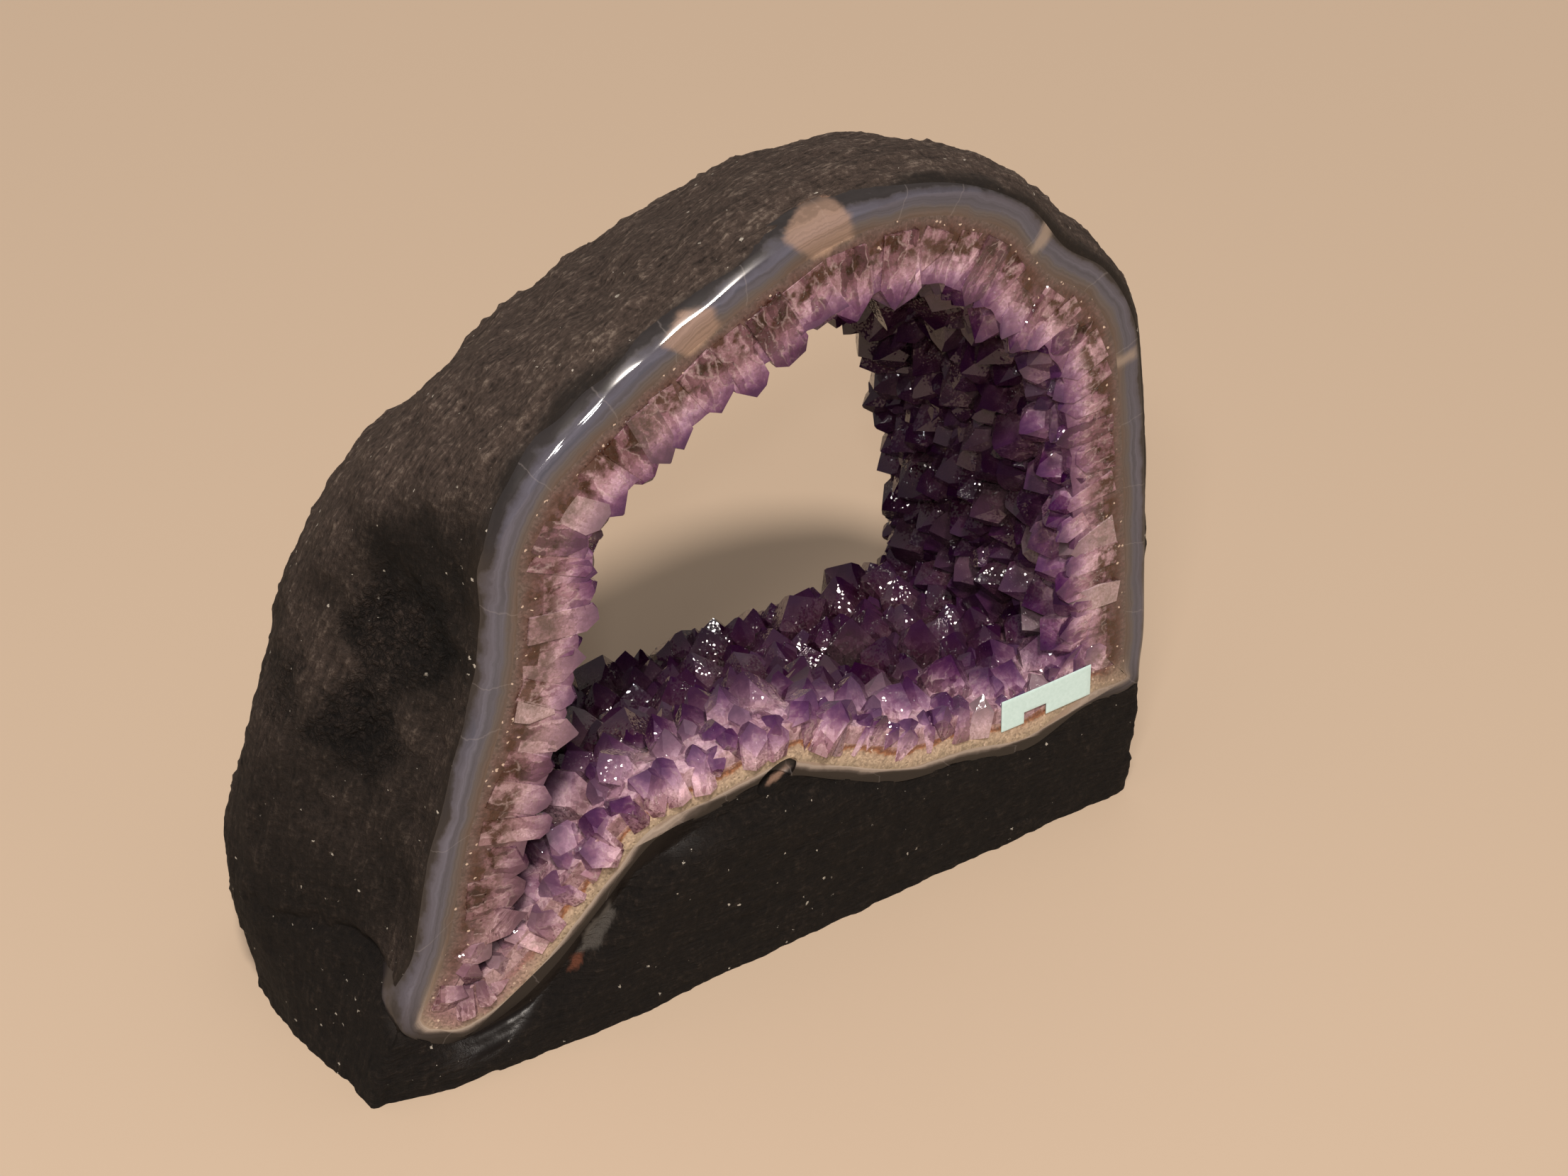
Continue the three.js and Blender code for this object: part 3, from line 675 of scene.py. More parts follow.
kinds = [crystalKind() for _ in range(crystalLook["kinds"])]
depths = np.linspace(-1, 107, 73)
wall = np.stack([ring(crystalFoot, y) for y in depths], 1)  # around, depth
acrossWall = np.roll(wall, -3, 0) - np.roll(wall, 3, 0)
alongWall = np.gradient(wall, axis=1)
inward = np.cross(acrossWall, alongWall)
inward /= np.linalg.norm(inward, axis=2, keepdims=True)
middle = np.array([axisX * mm + corner[0], 0, axisZ * mm])
if (((middle - wall) * [1, 0, 1] * inward).sum(2)).mean() < 0:
    inward = -inward
onArch = archShare(angles)
# in mm and degrees; the notch in its lower edge: start, width, height
tagLook = {
    "corner": (235, -0.4, 48.5), "size": (38.5, 12.5), "thick": 0.35, "notch": (9.5, 9.5, 4.5), "tilt": 2,
    "curl": 0.25, "edge": 0.08}

chosen = []  # around, depth, width, height over the foot
placed = {"at": np.zeros((0, 3)), "width": np.zeros(0)}


def place(i, j, width, tall, spacing):
    away = np.linalg.norm(placed["at"] - wall[i, j], axis=1)
    if (away >= spacing * (placed["width"] + width) / 2 * mm).all():
        placed["at"], placed["width"] = np.vstack([placed["at"], wall[i, j]]), np.append(placed["width"], width)
        chosen.append((i, j, width, tall))


floorAround = [i for i in range(len(angles)) if onArch[i] < 0.5]
for x, y, width, tipZ in crystalLook["proud"]:
    j = int(np.abs(depths - y).argmin())
    i = min(floorAround, key=lambda k: abs(wall[k, j, 0] - x * mm - corner[0]))
    place(i, j, width, tipZ - wall[i, j, 2] / mm, 0)
for i in random.sample(range(len(angles)), len(angles)):
    # the front row: cut through by the saw on the arch, and standing free on the sill
    rows, wide, high, apart = crystalLook["frontArch" if onArch[i] > 0.5 else "frontSill"]
    place(i, random.choice(rows), random.uniform(*wide), random.uniform(*high), apart)
for low, high, tries in crystalLook["sizes"]:
    for _ in range(tries):
        i, j = random.randrange(len(angles)), random.randrange(3, len(depths))
        width = random.uniform(low, high)
        inCorner = wall[i, j, 0] - corner[0] < crystalLook["cornerX"][0] * mm
        behindSaw = 4 if onArch[i] > 0.5 and depths[j] < 20 else 0  # these show past the ends of the sawn ones
        if 0.25 * width + 2 < depths[j] < 109 - 0.45 * width and not (inCorner and width > 11):
            apart = crystalLook["spacing"][int(onArch[i] < 0.5)]
            place(i, j, width, 6.5 + width * random.uniform(0.5, 0.95) + behindSaw, apart)
print("crystals placed:", len(chosen))

groups = [[] for _ in range(crystalLook["groups"])]
tips, axes = [], []
for i, j, width, tall in chosen:
    spot, out, y = Vector(wall[i, j]), Vector(inward[i, j]), depths[j]
    hit = liningTree.ray_cast(spot + out * 0.002, out)
    room = hit[3] / mm if hit[3] else 200
    inCorner = spot.x - corner[0] < crystalLook["cornerX"][1] * mm
    tall = max(min(tall, crystalLook["longest"][int(inCorner)] * room), 5 + 0.5 * width)
    limit, wideLean, slimLean = crystalLook["lean"]
    lean = wideLean if width > limit else slimLean
    axis = (out + Vector([random.gauss(0, lean) for _ in range(3)])).normalized()
    axis.y = min(axis.y, (112.5 - y - 0.5 * width) / tall)  # none stands out of the back
    kind = random.choice(kinds)
    crystal = kind.copy()
    crystal.data = kind.data.copy()
    bpy.context.collection.objects.link(crystal)
    size = width * mm
    root = (tall + crystalLook["rootDeep"]) * mm / size  # the column's length, in widths
    for v in crystal.data.vertices:
        if v.co.z < -1.5:
            v.co.z = -max(root, 1.0)
    turn = axis.to_track_quat("Z", "Y").to_matrix().to_4x4() @ Matrix.Rotation(random.uniform(0, math.tau), 4, "Z")
    tip = spot + axis * tall * mm
    crystal.data.transform(Matrix.Translation(tip) @ turn @ Matrix.Scale(size, 4))
    whole = random.random()
    storeValues(crystal, "tone", [0.5 * whole + 0.5 * random.random() for _ in crystal.data.polygons], "FACE")
    storeValues(crystal, "whose", [len(tips)] * len(crystal.data.polygons), "FACE")
    tips.append(tip)
    axes.append(axis)
    # the saw went through those of the arch; those of the sill stand a little in front, but not behind the tag
    x = (spot.x - corner[0]) / mm
    behindTag = -6 < x - tagLook["corner"][0] < tagLook["size"][0] + 6
    if onArch[i] > 0.5:
        front = random.uniform(*crystalLook["sawn"])
    else:
        front = 0.3 if behindTag else -random.uniform(*crystalLook["standOut"])
    if min(v.co.y for v in crystal.data.vertices) < corner[1] + front * mm:
        tilt = 0.03 if onArch[i] > 0.5 else 0 if behindTag else 0.3
        out = Vector((random.gauss(0, tilt), -1, random.gauss(0, tilt))).normalized()
        at = spot + axis * 0.5 * tall * mm
        at.y = corner[1] + front * mm
        cutOff(crystal, at, out)
    if not len(crystal.data.polygons):
        bpy.data.objects.remove(crystal)
        continue
    # those of one group stand clear of each other, so that each group is a sound solid
    share, *clearance = crystalLook["apart"]
    best = min(groups, key=lambda g: sum(
        (spot - s).length < (share * (width + w) + clearance[int(inCorner)]) * mm
        for s, w, _ in g) * 100 + len(g) * 0.01)
    best.append((spot, width, crystal))
for kind in kinds:
    bpy.data.objects.remove(kind)
crystals = bed
for group in groups:
    deselectAll()
    for _, _, crystal in group:
        crystal.select_set(True)
    bpy.context.view_layer.objects.active = group[0][2]
    bpy.ops.object.join()
    combine(crystals, bpy.context.object, "UNION")
print("crystals grown together:", len(crystals.data.polygons), "faces")

# how far each corner of a face is below its own crystal's tip, and how milky that crystal is
mesh = crystals.data
whose = np.round(readValues(mesh.attributes["whose"].data, "value")).astype(int)
owner = np.repeat(whose, readValues(mesh.polygons, "loop_total", np.int32))
vertexOf = readValues(mesh.loops, "vertex_index", np.int32)
spots = coordinates(crystals)
below = ((np.array(tips)[owner] - spots[vertexOf]) * np.array(axes)[owner]).sum(1)
angle, reach = roundAxis(spots)
intoBed = (bedRings[0](angle, 0) + crystalLook["bed"] - reach)[vertexOf]  # mm over the foot on the sawn face
storeValues(crystals, "below", np.where(owner < 0, (17.5 - np.clip(intoBed, 0, 15)) * mm, below), "CORNER")
milkiness = np.array([random.random() ** 9 for _ in tips])
storeValues(crystals, "milk", np.where(whose < 0, 0.1, milkiness[whose]), "FACE")
mesh.attributes.remove(mesh.attributes["whose"])


def growthFrom(piece):
    # how far each point is from the agate, and the agate's nearest point, which the columns start from
    found = [agateWall.find_nearest(Vector(p)) for p in coordinates(piece)]
    storeValues(piece, "growth", np.array([f[3] for f in found]))
    storeValues(piece, "root", np.array([f[0] for f in found]))
    storeValues(piece, "arch", archShare(roundAxis(coordinates(piece))[0]))


tube = loft("tube", [ring(agateInner, y) for y in [-3] + wallDepths + [118]])
sides = [p.vertices for p in tube.data.polygons if len(p.vertices) < 5]  # without the discs at its ends
agateWall = BVHTree.FromPolygons([v.co for v in tube.data.vertices], sides)
for tool in (tube, body):
    bpy.data.objects.remove(tool)
growthFrom(lining)
growthFrom(crystals)
markShare(lining, "beige")
print("growth measured")

# Tag
deselectAll()
wide, tall = tagLook["size"]
start, notchWide, up = tagLook["notch"]
bpy.ops.mesh.primitive_plane_add(size=1)
tag = bpy.context.object
for v in tag.data.vertices:
    v.co = (v.co.x + 0.5) * wide * mm, (v.co.y + 0.5) * tall * mm, 0
bpy.ops.object.mode_set(mode="EDIT")
for at, side in (((start, 0, 0), "x"), ((start + notchWide, 0, 0), "x"), ((0, up, 0), "y")):
    bpy.ops.mesh.select_all(action="SELECT")
    bpy.ops.mesh.bisect(plane_co=[c * mm for c in at], plane_no=(side == "x", side == "y", 0))
bpy.ops.object.mode_set(mode="OBJECT")
for p in tag.data.polygons:
    p.select = start * mm < p.center.x < (start + notchWide) * mm and p.center.y < up * mm
bpy.ops.object.mode_set(mode="EDIT")
bpy.ops.mesh.delete(type="FACE")
bpy.ops.mesh.select_all(action="SELECT")
bpy.ops.mesh.subdivide(number_cuts=6)
bpy.ops.object.mode_set(mode="OBJECT")
for v in tag.data.vertices:
    v.co.z = tagLook["curl"] * mm * math.sin(v.co.x / (wide * mm) * math.pi)
turn = Matrix.Rotation(math.radians(90), 4, "X") @ Matrix.Rotation(math.radians(tagLook["tilt"]), 4, "Z")
tag.data.transform(Matrix.Translation(row(*tagLook["corner"])) @ turn)
addModifier(tag, "SOLIDIFY", thickness=tagLook["thick"] * mm, offset=0)
addModifier(tag, "BEVEL", width=tagLook["edge"] * mm, segments=2, limit_method="ANGLE")
print("tag made")


def drawnOut(add, spot, root, share):
    # a place whose pattern is drawn out along the columns, away from the agate
    away = add("VectorMath", spot, root, operation="SUBTRACT")
    away = add("VectorMath", operation="SCALE", Vector=away, Scale=share)
    return add("VectorMath", root, away, operation="ADD")


def brokenUp(add, spot, scale, strength):
    # small flat steps, each leaning its own way, as a normal
    steps = add("TexVoronoi", Vector=spot, Scale=scale).node
    lean = add("VectorMath", steps.outputs["Color"], (0.5, 0.5, 0.5), operation="SUBTRACT")
    fromMiddle = add("VectorMath", spot, steps.outputs["Position"], operation="SUBTRACT")
    facet = add("VectorMath", lean, fromMiddle, out="Value", operation="DOT_PRODUCT")
    return steps, add("Bump", Strength=strength, Distance=1.0, Height=facet)


# Basalt rind under a sprayed cement-and-paint coat: dry, nearly black, browner on its ridges where light rakes over
# them, with painted light on the ridges and painted shade in the hollows
coatLook = {
    # colours of the hollows, of the middle heights and of the tops of ridges and grains, where the coat is rubbed;
    # the hollows hold painted shade and the tops painted light, and the top colours are painted light on what faces
    # up
    "sides": ("#070504", "#15100d", "#332a24"),
    "top": ("#241d1a", "#4c403a", "#8e8075"),
    "base": ("#060404", "#15100d", "#352c26"),
    "ground": ("#151110", "#1e1916", "#302824"),
    "glossy": "#0f0b0a",
    "spatter": "#a8a298",
    "paintedCreviceShade": "#050303",
    "marks": {"beige": "#84695a", "clear": "#47433f", "rusty": "#593426"},
    "ridges": (9, 1.3),  # length and spacing in mm
    "shares": (0.65, 1.05, 0.25),  # how much ridges, grit and blotches add to the height that colours it
    "grit": 480,  # per metre, as the other patterns: 2 mm
    "blotches": 60,
    "spatters": 260,
    "crumbs": 400,
    "relief": 0.0018,
    "roughness": (0.8, 0.55, 0.27),  # as sprayed, ground beside the rim, and glossy under the sill
}
coatedRock, add = newMaterial("sprayedRockCoat")
spot = add("TexCoord", out="Object")
ground, gloss, coat, rise, dust, crumb = [
    add("Attribute", out="Fac", attribute_name=name)
    for name in ("ground", "gloss", "coat", "rise", "dust", "crumb")]
wrap = add("Attribute", out="Vector", attribute_name="wrap")
long, apart = coatLook["ridges"]
stretched = add("Mapping", Vector=wrap, Scale=(1 / long, 1 / long, 1 / apart))
ridges = add("TexNoise", Vector=stretched, Scale=1000, Detail=4, Roughness=0.65)
grit = add("TexNoise", Vector=spot, Scale=coatLook["grit"], Detail=5, Roughness=0.7)
blotch = add("TexNoise", Vector=spot, Scale=coatLook["blotches"], Detail=5, Roughness=0.6)
# painted shade and light: the colour follows the relief, dark in its hollows and light on its tops
raised = add("MapRange", rise, -1.6, 1.2, -0.25, 0.05)
for part, share in zip((ridges, grit, blotch), coatLook["shares"]):
    raised = add("Math", part, share, raised, operation="MULTIPLY_ADD")
raised = add("MapRange", raised, 0.6, 1.35)
sides, top, base, rubbed = [
    add("ValToRGB", raised, stops=list(zip((0.0, 0.5, 1.0), coatLook[name])))
    for name in ("sides", "top", "base", "ground")]
# spatters of white, ragged and half a millimetre to a millimetre wide, in loose groups
ragged = add("TexNoise", out="Color", Vector=spot, Scale=1500, Detail=2)
ragged = add("VectorMath", operation="SCALE", Vector=ragged, Scale=0.0016)
ragged = add("VectorMath", ragged, spot, operation="ADD")
spatters = add("TexVoronoi", Vector=ragged, Scale=coatLook["spatters"])
rare = add("SeparateColor", spatters.node.outputs["Color"])
wide = add("MapRange", rare, 0.35, 1.0, 0.0, 0.14)
grouped = add("MapRange", blotch, 0.42, 0.6, 0.35, 1.3)
wide = add("Math", wide, grouped, operation="MULTIPLY")
white = add("Math", spatters, wide, operation="LESS_THAN")
# crumbly places break up into angular grains 2 to 3 mm wide, with painted shade in the black crevices between them
crumbly = add("MapRange", crumb, 0.3, 2.2)
grains = add("TexVoronoi", feature="DISTANCE_TO_EDGE", Vector=ragged, Scale=coatLook["crumbs"])
paintedCreviceShade = add("MapRange", grains, 0.0, 0.17, 0.7, 0.0)
paintedCreviceShade = add("Math", paintedCreviceShade, crumbly, operation="MULTIPLY")
# painted light from above: the top colours lie over what faces up
layers = [(dust, top), (coat, base), (ground, rubbed), (gloss, coatLook["glossy"]), (white, coatLook["spatter"])]
for name, code in coatLook["marks"].items():
    layers.append((add("Attribute", out="Fac", attribute_name=name), code))
colour = sides
for share, over in layers + [(paintedCreviceShade, coatLook["paintedCreviceShade"])]:
    colour = add("Mix", out=2, data_type="RGBA", Factor_Float=share, A_Color=colour, B_Color=over)
height = add("Math", ridges, 0.9, grit, operation="MULTIPLY_ADD")
broken = add("Math", grains, crumbly, operation="MULTIPLY")
height = add("Math", broken, 3.2, height, operation="MULTIPLY_ADD")
worn = add("MapRange", ground, 0.0, 1.0, 1.0, 0.22)
worn = add("Mix", data_type="FLOAT", Factor_Float=gloss, A_Float=worn, B_Float=0.06)
bump = add("Bump", Strength=worn, Distance=coatLook["relief"], Height=height)
sprayed, smooth, glossy = coatLook["roughness"]
dull = add("MapRange", ground, 0.0, 1.0, sprayed, smooth)
dull = add("Mix", data_type="FLOAT", Factor_Float=gloss, A_Float=dull, B_Float=glossy)
shader = add(
    "BsdfPrincipled", Base_Color=colour, Roughness=dull, Normal=bump, IOR=1.5, Specular_IOR_Level=0.2)
add("OutputMaterial", Surface=shader)

# Banded chalcedony, ground and polished: cloudy grey-blue, glassy, dark where its edge lets the black rock through
agateLook = {
    # colours from the rock, 0, to the quartz, 1
    "arch": [
        (0.0, "#262223"), (0.03, "#353133"), (0.1, "#45424a"), (0.28, "#53515c"), (0.42, "#47464f"),
        (0.56, "#504e57"), (0.7, "#524c4b"), (0.86, "#554a46"), (1.0, "#56473f")],
    "sill": [
        (0.0, "#100c0b"), (0.4, "#1a1513"), (0.58, "#4a423e"), (0.75, "#857970"), (0.9, "#a09388"),
        (1.0, "#907e6f")],
    "bands": (14, 25),  # how many lie across the agate, and how many waves they make in a metre
    "cracks": 34,  # in a metre
    "crack": "#a39a98",
    "pale": "#8f7f72",
    "stain": [(0.35, "#80695b"), (0.6, "#93796a")],
    "roughness": (0.34, 0.06),  # at its outermost edge and polished
}
polishedAgate, add = newMaterial("polishedAgate")
spot = add("TexCoord", out="Object")
across, along, arch, beige, pale = [
    add("Attribute", out="Fac", attribute_name=name)
    for name in ("across", "along", "arch", "beige", "pale")]
cloud = add("TexNoise", Vector=spot, Scale=70, Detail=5, Roughness=0.6)
cloud = add("MapRange", cloud, 0.3, 0.7, -0.13, 0.13)
shifted = add("Math", cloud, across, operation="ADD")
# growth bands half a millimetre apart, drawn a little coarser than the real ones
bandAt = [add("Math", part, count, operation="MULTIPLY")
          for part, count in zip((shifted, along), agateLook["bands"])]
lines = add(
    "TexNoise", noise_dimensions="2D", Vector=add("CombineXYZ", *bandAt), Scale=1.0, Detail=3)
archBands, sillBands = [add("ValToRGB", shifted, stops=agateLook[side]) for side in ("arch", "sill")]
bands = add("Mix", out=2, data_type="RGBA", Factor_Float=arch, A_Color=sillBands, B_Color=archBands)
banded = add("MapRange", lines, 0.3, 0.7, 0.86, 1.14)
bands = add("HueSaturation", Color=bands, Value=banded)
# healed cracks run square across the band, some 30 mm apart
slant = add("Math", cloud, 0.012, along, operation="MULTIPLY_ADD")
cracks = add(
    "TexVoronoi", voronoi_dimensions="1D", feature="DISTANCE_TO_EDGE", W=slant, Scale=agateLook["cracks"])
crack = add("MapRange", cracks, 0.0, 0.012, 0.16, 0.0)
# pale and stained places are nearly as cloudy as the agate round them
pale = add("Math", pale, 0.8, operation="MULTIPLY")
stain = add("ValToRGB", lines, stops=agateLook["stain"])
stained = add("Math", beige, 0.75, operation="MULTIPLY")
for share, over in ((crack, agateLook["crack"]), (pale, agateLook["pale"]), (stained, stain)):
    bands = add("Mix", out=2, data_type="RGBA", Factor_Float=share, A_Color=bands, B_Color=over)
satin = add("MapRange", across, 0.02, 0.16, *agateLook["roughness"])
shader = add("BsdfPrincipled", Base_Color=bands, Roughness=satin, IOR=1.54)
add("OutputMaterial", Surface=shader)

# Granular quartz, sawn and polished: sugary and cloudy, stained by iron in clumps, with grains that catch the light
# and a few grains painted pale as glints
quartzLook = {
    # colours from the agate, 0, to the columns, 1; in the lower left corner the columns start nearly at the agate
    "arch": [
        (0.0, "#574a45"), (0.2, "#5a4743"), (0.45, "#573f3b"), (0.7, "#5a4143"), (0.88, "#68494e"),
        (1.0, "#7c5c64")],
    "sill": [
        (0.0, "#93836f"), (0.3, "#a8947f"), (0.58, "#a8917d"), (0.7, "#8f6246"), (0.8, "#6f4331"), (0.92, "#94736a"),
        (1.0, "#a38680")],
    "corner": [(0.0, "#8d7a6c"), (0.2, "#8a6f69"), (0.5, "#7d5f60"), (0.8, "#8b6c71"), (1.0, "#8f7076")],
    "cornerEnds": (0.065, 0.04),  # metres from the stone's left
    "iron": "#40271c",
    "paintedGlint": "#b8a292",
    "beige": "#9c8270",
    "grains": 1400,  # per metre: 0.7 mm wide
    "fibres": 900,
    "clumps": 200,
}
granularQuartz, add = newMaterial("sawnGranularQuartz")
spot = add("TexCoord", out="Object")
growth, arch, beige = [
    add("Attribute", out="Fac", attribute_name=name) for name in ("growth", "arch", "beige")]
root = add("Attribute", out="Vector", attribute_name="root")
clumps = add("TexNoise", Vector=spot, Scale=quartzLook["clumps"], Detail=4, Roughness=0.6)
grains, bump = brokenUp(add, spot, quartzLook["grains"], 0.45)
grainTone = add("SeparateColor", grains.outputs["Color"])
# fibres stand on the agate
fibreSpot = drawnOut(add, spot, root, 0.2)
fibres = add("TexNoise", Vector=fibreSpot, Scale=quartzLook["fibres"], Detail=3)
deep = add("Math", clumps, 0.007, growth, operation="MULTIPLY_ADD")
zone = add("MapRange", deep, 0.0035, 0.0125)
archColours, sillColours, cornerColours = [
    add("ValToRGB", zone, stops=quartzLook[side]) for side in ("arch", "sill", "corner")]
inCorner = add(
    "MapRange", add("SeparateXYZ", spot), *[corner[0] + end for end in quartzLook["cornerEnds"]])
iron = add("MapRange", clumps, 0.43, 0.56)
ironFrom = add("MapRange", growth, 0.0015, 0.005)
for part in (ironFrom, arch):
    iron = add("Math", iron, part, operation="MULTIPLY")
colour = sillColours
for share, over in ((inCorner, cornerColours), (arch, archColours), (iron, quartzLook["iron"])):
    colour = add("Mix", out=2, data_type="RGBA", Factor_Float=share, A_Color=colour, B_Color=over)
bright = add("Math", grainTone, 0.4, 0.4, operation="MULTIPLY_ADD")
bright = add("Math", fibres, 0.8, bright, operation="MULTIPLY_ADD")
colour = add("HueSaturation", Color=colour, Value=bright)
# painted glints: a few grains are coloured pale
paintedGlint = add("Math", grainTone, 0.988, operation="GREATER_THAN")
for share, over in ((paintedGlint, quartzLook["paintedGlint"]), (beige, quartzLook["beige"])):
    colour = add("Mix", out=2, data_type="RGBA", Factor_Float=share, A_Color=colour, B_Color=over)
shader = add("BsdfPrincipled", Base_Color=colour, Roughness=0.16, Normal=bump, IOR=1.544)
add("OutputMaterial", Surface=shader)

# Amethyst: clear quartz, milky and cracked at the foot, violet at the tip, glassy natural faces
amethystLook = {
    # colours from the foot, 0, to the tip, 1, of the crystals in front and deep inside; deep inside they are darker
    # violet with painted shade of the hollow
    "outer": [
        (0.0, "#7f5e66"), (0.12, "#96727e"), (0.32, "#9d7a8a"), (0.5, "#8a6580"), (0.68, "#70476b"),
        (0.85, "#562f5c"), (1.0, "#48244e")],
    "inner": [(0.0, "#24151b"), (0.4, "#39212e"), (0.7, "#3e2139"), (1.0, "#381a3c")],
    "depth": (0.007, 0.034),  # metres behind the sawn face from the one to the other
    "corner": "#7c5f60",
    "cornerEnds": (0.08, 0.045),  # metres from the stone's left
    "iron": "#40261d",
    "milk": "#b09a9a",
    "splinters": 240,  # per metre, as the other patterns: 4 mm wide and 10 mm long
    "slivers": 620,
    "steps": 1500,  # 0.7 mm wide
    "clear": (0.08, 0.4),  # how see-through the foot and the tip are
    "stepLean": (0.6, 0.12),
    "absorption": ("#a55bb0", 50.0),
}
amethyst, add = newMaterial("amethystQuartz")
spot = add("TexCoord", out="Object")
growth, below, tone, milk, arch = [
    add("Attribute", out="Fac", attribute_name=name)
    for name in ("growth", "below", "tone", "milk", "arch")]
root = add("Attribute", out="Vector", attribute_name="root")
# splinters stand on the wall, with finer ones inside them
waver = add("TexNoise", out="Color", Vector=spot, Scale=150, Detail=3)
waver = add("VectorMath", operation="SCALE", Vector=waver, Scale=0.005)
along = add("VectorMath", drawnOut(add, spot, root, 0.35), waver, operation="ADD")
splinters, slivers = [
    add("TexVoronoi", out="Color", Vector=along, Scale=amethystLook[name])
    for name in ("splinters", "slivers")]
splinterTone, sliverTone = [add("SeparateColor", part) for part in (splinters, slivers)]
seams = add("TexVoronoi", feature="DISTANCE_TO_EDGE", Vector=along, Scale=amethystLook["splinters"])
seam = add("MapRange", seams, 0.0, 0.08, 1.0, 0.0)
cloud = add("TexNoise", Vector=spot, Scale=230, Detail=5, Roughness=0.65)
# 0 at a crystal's foot and 1 at its tip
deep = add("Math", cloud, 0.009, below, operation="MULTIPLY_ADD")
zone = add("MapRange", deep, 0.0205, 0.0045)
outer, inner = [add("ValToRGB", zone, stops=amethystLook[name]) for name in ("outer", "inner")]
# painted shade: deeper in the hollow the crystals take the darker inner colours
within = add(
    "MapRange", add("SeparateXYZ", spot, out="Y"), *[corner[1] + end for end in amethystLook["depth"]])
# those that fill the lower left corner are paler and brown with iron
inCorner = add(
    "MapRange", add("SeparateXYZ", spot), *[corner[0] + end for end in amethystLook["cornerEnds"]],
    0.0, 0.6)
# iron stain round the feet of the sawn ones, in clumps 5 mm wide
clumps = add("TexNoise", Vector=spot, Scale=200, Detail=4, Roughness=0.6)
iron = add("MapRange", clumps, 0.44, 0.57)
for part, low, high in ((growth, 0.0165, 0.0105), (arch, 0.4, 0.9)):
    iron = add("Math", iron, add("MapRange", part, low, high), operation="MULTIPLY")
colours = outer
for share, over in ((inCorner, amethystLook["corner"]), (within, inner), (iron, amethystLook["iron"])):
    colours = add("Mix", out=2, data_type="RGBA", Factor_Float=share, A_Color=colours, B_Color=over)
# each face, splinter and sliver has its own brightness, as the light comes through it from another side
milky = add("MapRange", zone, 0.4, 0.8, 1.0, 0.12)
broken = add("Math", splinterTone, 0.9, -0.75, operation="MULTIPLY_ADD")
broken = add("Math", sliverTone, 0.6, broken, operation="MULTIPLY_ADD")
bright = add("Math", tone, 1.2, 0.42, operation="MULTIPLY_ADD")
bright = add("Math", broken, milky, bright, operation="MULTIPLY_ADD")
bright = add("Math", bright, 0.35, operation="MAXIMUM")
# painted light: the upright columns at the front of the floor take more light than the sawn ones, so their colour is
# made brighter
shaded = add("Math", arch, within, operation="MAXIMUM")
lit = add("MapRange", shaded, 0.0, 1.0, 1.22, 1.0)
bright = add("Math", bright, lit, operation="MULTIPLY")
vivid = add("MapRange", bright, 0.4, 1.6, 1.3, 0.8)
colours = add("HueSaturation", Color=colours, Saturation=vivid, Value=bright)
# white seams show where the quartz is milky, and go out towards the clear tips
lines = add("Math", seam, add("MapRange", cloud, 0.45, 0.6, 0.0, 0.6), operation="MULTIPLY")
lines = add("Math", lines, milky, operation="MULTIPLY")
lines = add("Math", lines, add("Math", milk, 0.75, operation="MULTIPLY"), operation="MAXIMUM")
lines = add("Math", lines, add("MapRange", within, 0.0, 1.0, 1.0, 0.15), operation="MULTIPLY")
colours = add(
    "Mix", out=2, data_type="RGBA", Factor_Float=lines, A_Color=colours, B_Color=amethystLook["milk"])
clear = add("MapRange", zone, 0.35, 0.8, *amethystLook["clear"])
# small steps on the faces break up their shine
rough = add("MapRange", zone, 0.4, 0.8, *amethystLook["stepLean"])
bump = brokenUp(add, spot, amethystLook["steps"], rough)[1]
shader = add(
    "BsdfPrincipled", Base_Color=colours, Roughness=0.06, Normal=bump, IOR=1.544, Transmission_Weight=clear,
    Specular_IOR_Level=0.42)
tintCode, tintDensity = amethystLook["absorption"]
tint = add("VolumeAbsorption", Color=tintCode, Density=tintDensity)
add("OutputMaterial", Surface=shader, Volume=tint)

# Coated paper label: matt, faintly green-white
paperLook = {"shades": [(0.3, "#bcd7d5"), (0.7, "#c7e0df")], "roughness": 0.5}
labelPaper, add = newMaterial("labelPaper")
spot = add("TexCoord", out="Object")
fibre = add("TexNoise", Vector=spot, Scale=900, Detail=3)
tint = add("ValToRGB", fibre, stops=paperLook["shades"])
shader = add("BsdfPrincipled", Base_Color=tint, Roughness=paperLook["roughness"], IOR=1.5)
add("OutputMaterial", Surface=shader)

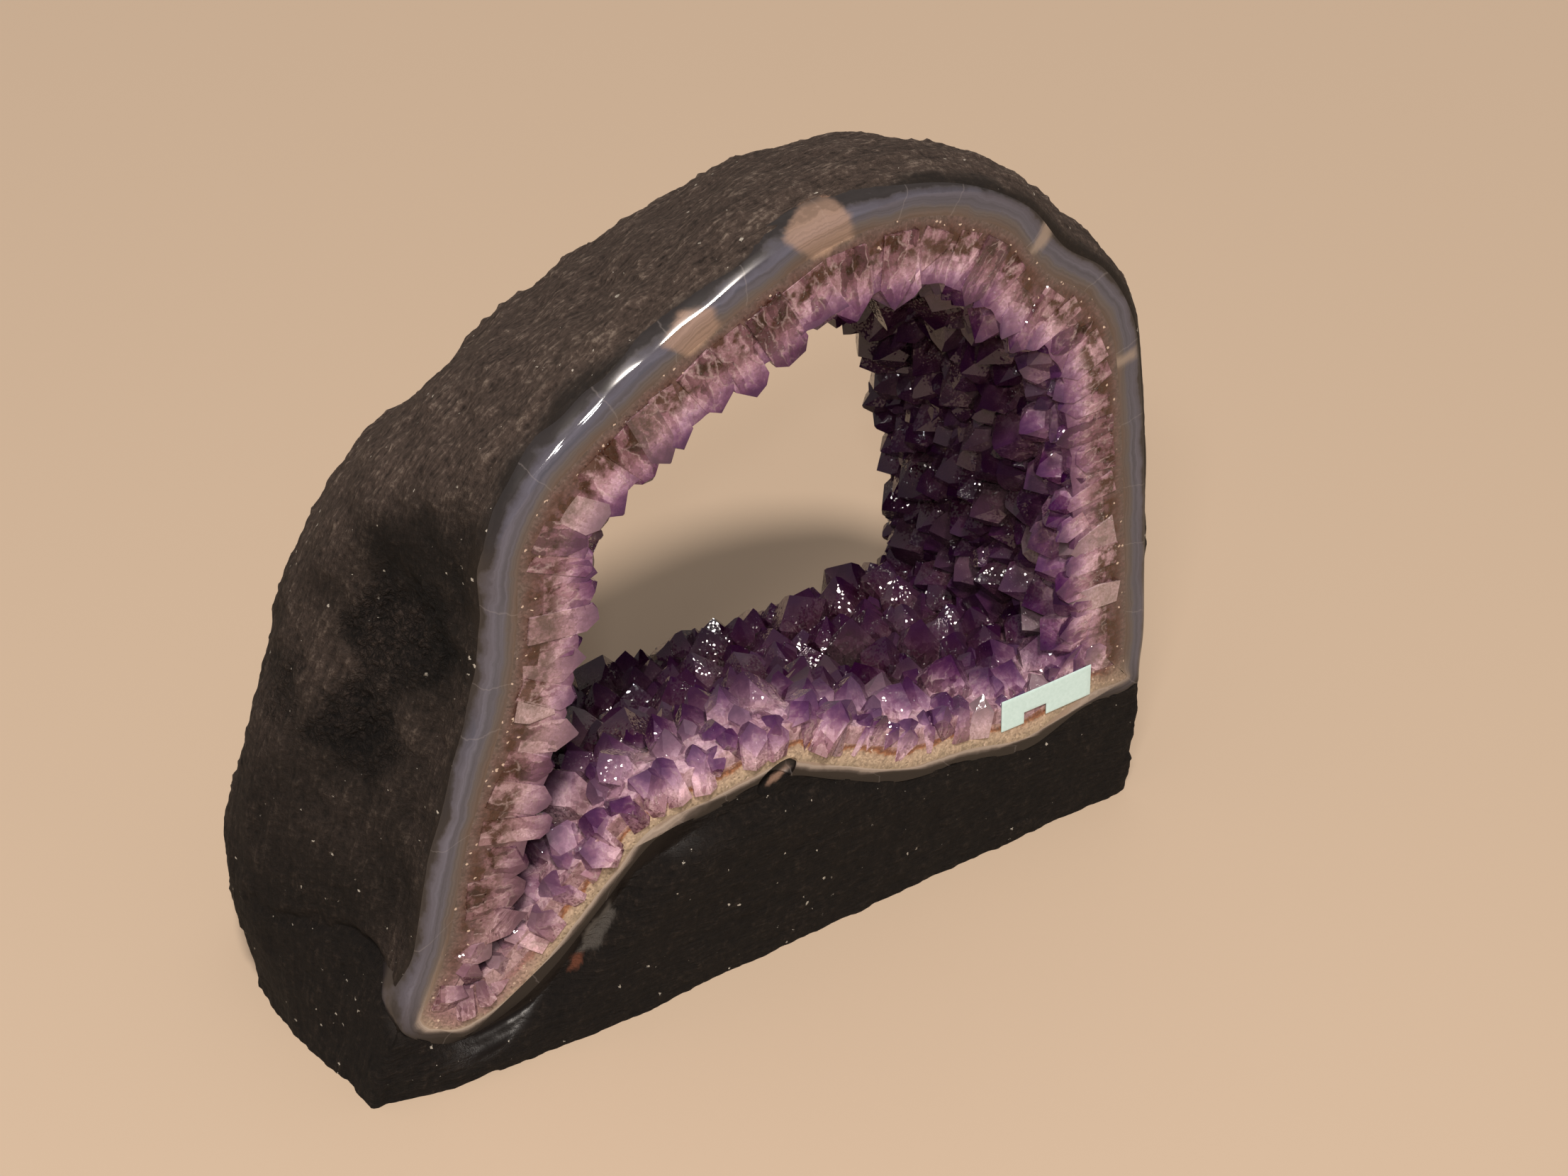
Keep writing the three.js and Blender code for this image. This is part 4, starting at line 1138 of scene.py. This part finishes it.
for piece, name, material, node, slot in (
        (rock, "rockShell", coatedRock, "rock_shell", "coated_rock"),
        (agate, "agateBand", polishedAgate, "agate_band", "polished_agate"),
        (lining, "quartzLining", granularQuartz, "amethyst_crust", "amethyst_crystal"),
        (crystals, "amethystPoints", amethyst, "amethyst_crust", "amethyst_crystal"),
        (tag, "paperTag", labelPaper, "paper_tag", "tag_paper")):
    makeActive(piece)
    bpy.ops.object.shade_smooth_by_angle(angle=math.radians(10 if piece == crystals else 35))
    finishPiece(piece, name, material, node)

# Floor and light: a wide soft ceiling light from the upper left front, and two small lamps for the glints
studio = {
    "floor": ("#bda994", 30, 0.6),  # colour, width in metres, roughness
    "sky": ("#fff3e8", 0.32),
    "ceiling": ("#fff4e9", 3.0, 9, (0.2, 0.5, -0.84)),  # colour, strength, angle, direction
    "aim": (0, 0, 0.12),
    # place, watts, size in metres, colour
    "lamps": {
        "keyLight": ((-0.62, -0.75, 0.95), 4, 0.14, "#fff6ee"),
        "flash": ((-0.36, -0.62, 0.62), 1.2, 0.04, "#ffffff"),
    },
}
floorCode, wide, dull = studio["floor"]
deselectAll()
bpy.ops.mesh.primitive_plane_add(size=wide)
floor = bpy.context.object
floor.name = "floor"
floorPaint, add = newMaterial("paintedFloor")
shader = add("BsdfPrincipled", Base_Color=floorCode, Roughness=dull)
add("OutputMaterial", Surface=shader)
floor.data.materials.append(floorPaint)

world = bpy.data.worlds.new("studio")
world.use_nodes = True
bpy.context.scene.world = world
world.node_tree.nodes.clear()
skyCode, strength = studio["sky"]
add = partial(addNode, world.node_tree)
add("OutputWorld", Surface=add("Background", Color=skyCode, Strength=strength))

ceilingCode, strength, spread, direction = studio["ceiling"]
bpy.ops.object.light_add(type="SUN")
ceiling = bpy.context.object
ceiling.name = "ceilingLight"
ceiling.data.energy = strength
ceiling.data.angle = math.radians(spread)
ceiling.data.color = linear(ceilingCode)[:3]
ceiling.rotation_euler = Vector(direction).to_track_quat("-Z", "Y").to_euler()
for name, (at, watts, size, code) in studio["lamps"].items():
    bpy.ops.object.light_add(type="AREA", location=at)
    lamp = bpy.context.object
    lamp.name = name
    lamp.data.energy = watts
    lamp.data.size = size
    lamp.data.color = linear(code)[:3]
    lamp.rotation_euler = (Vector(studio["aim"]) - Vector(at)).to_track_quat("-Z", "Y").to_euler()
bpy.context.scene.view_settings.view_transform = "Standard"
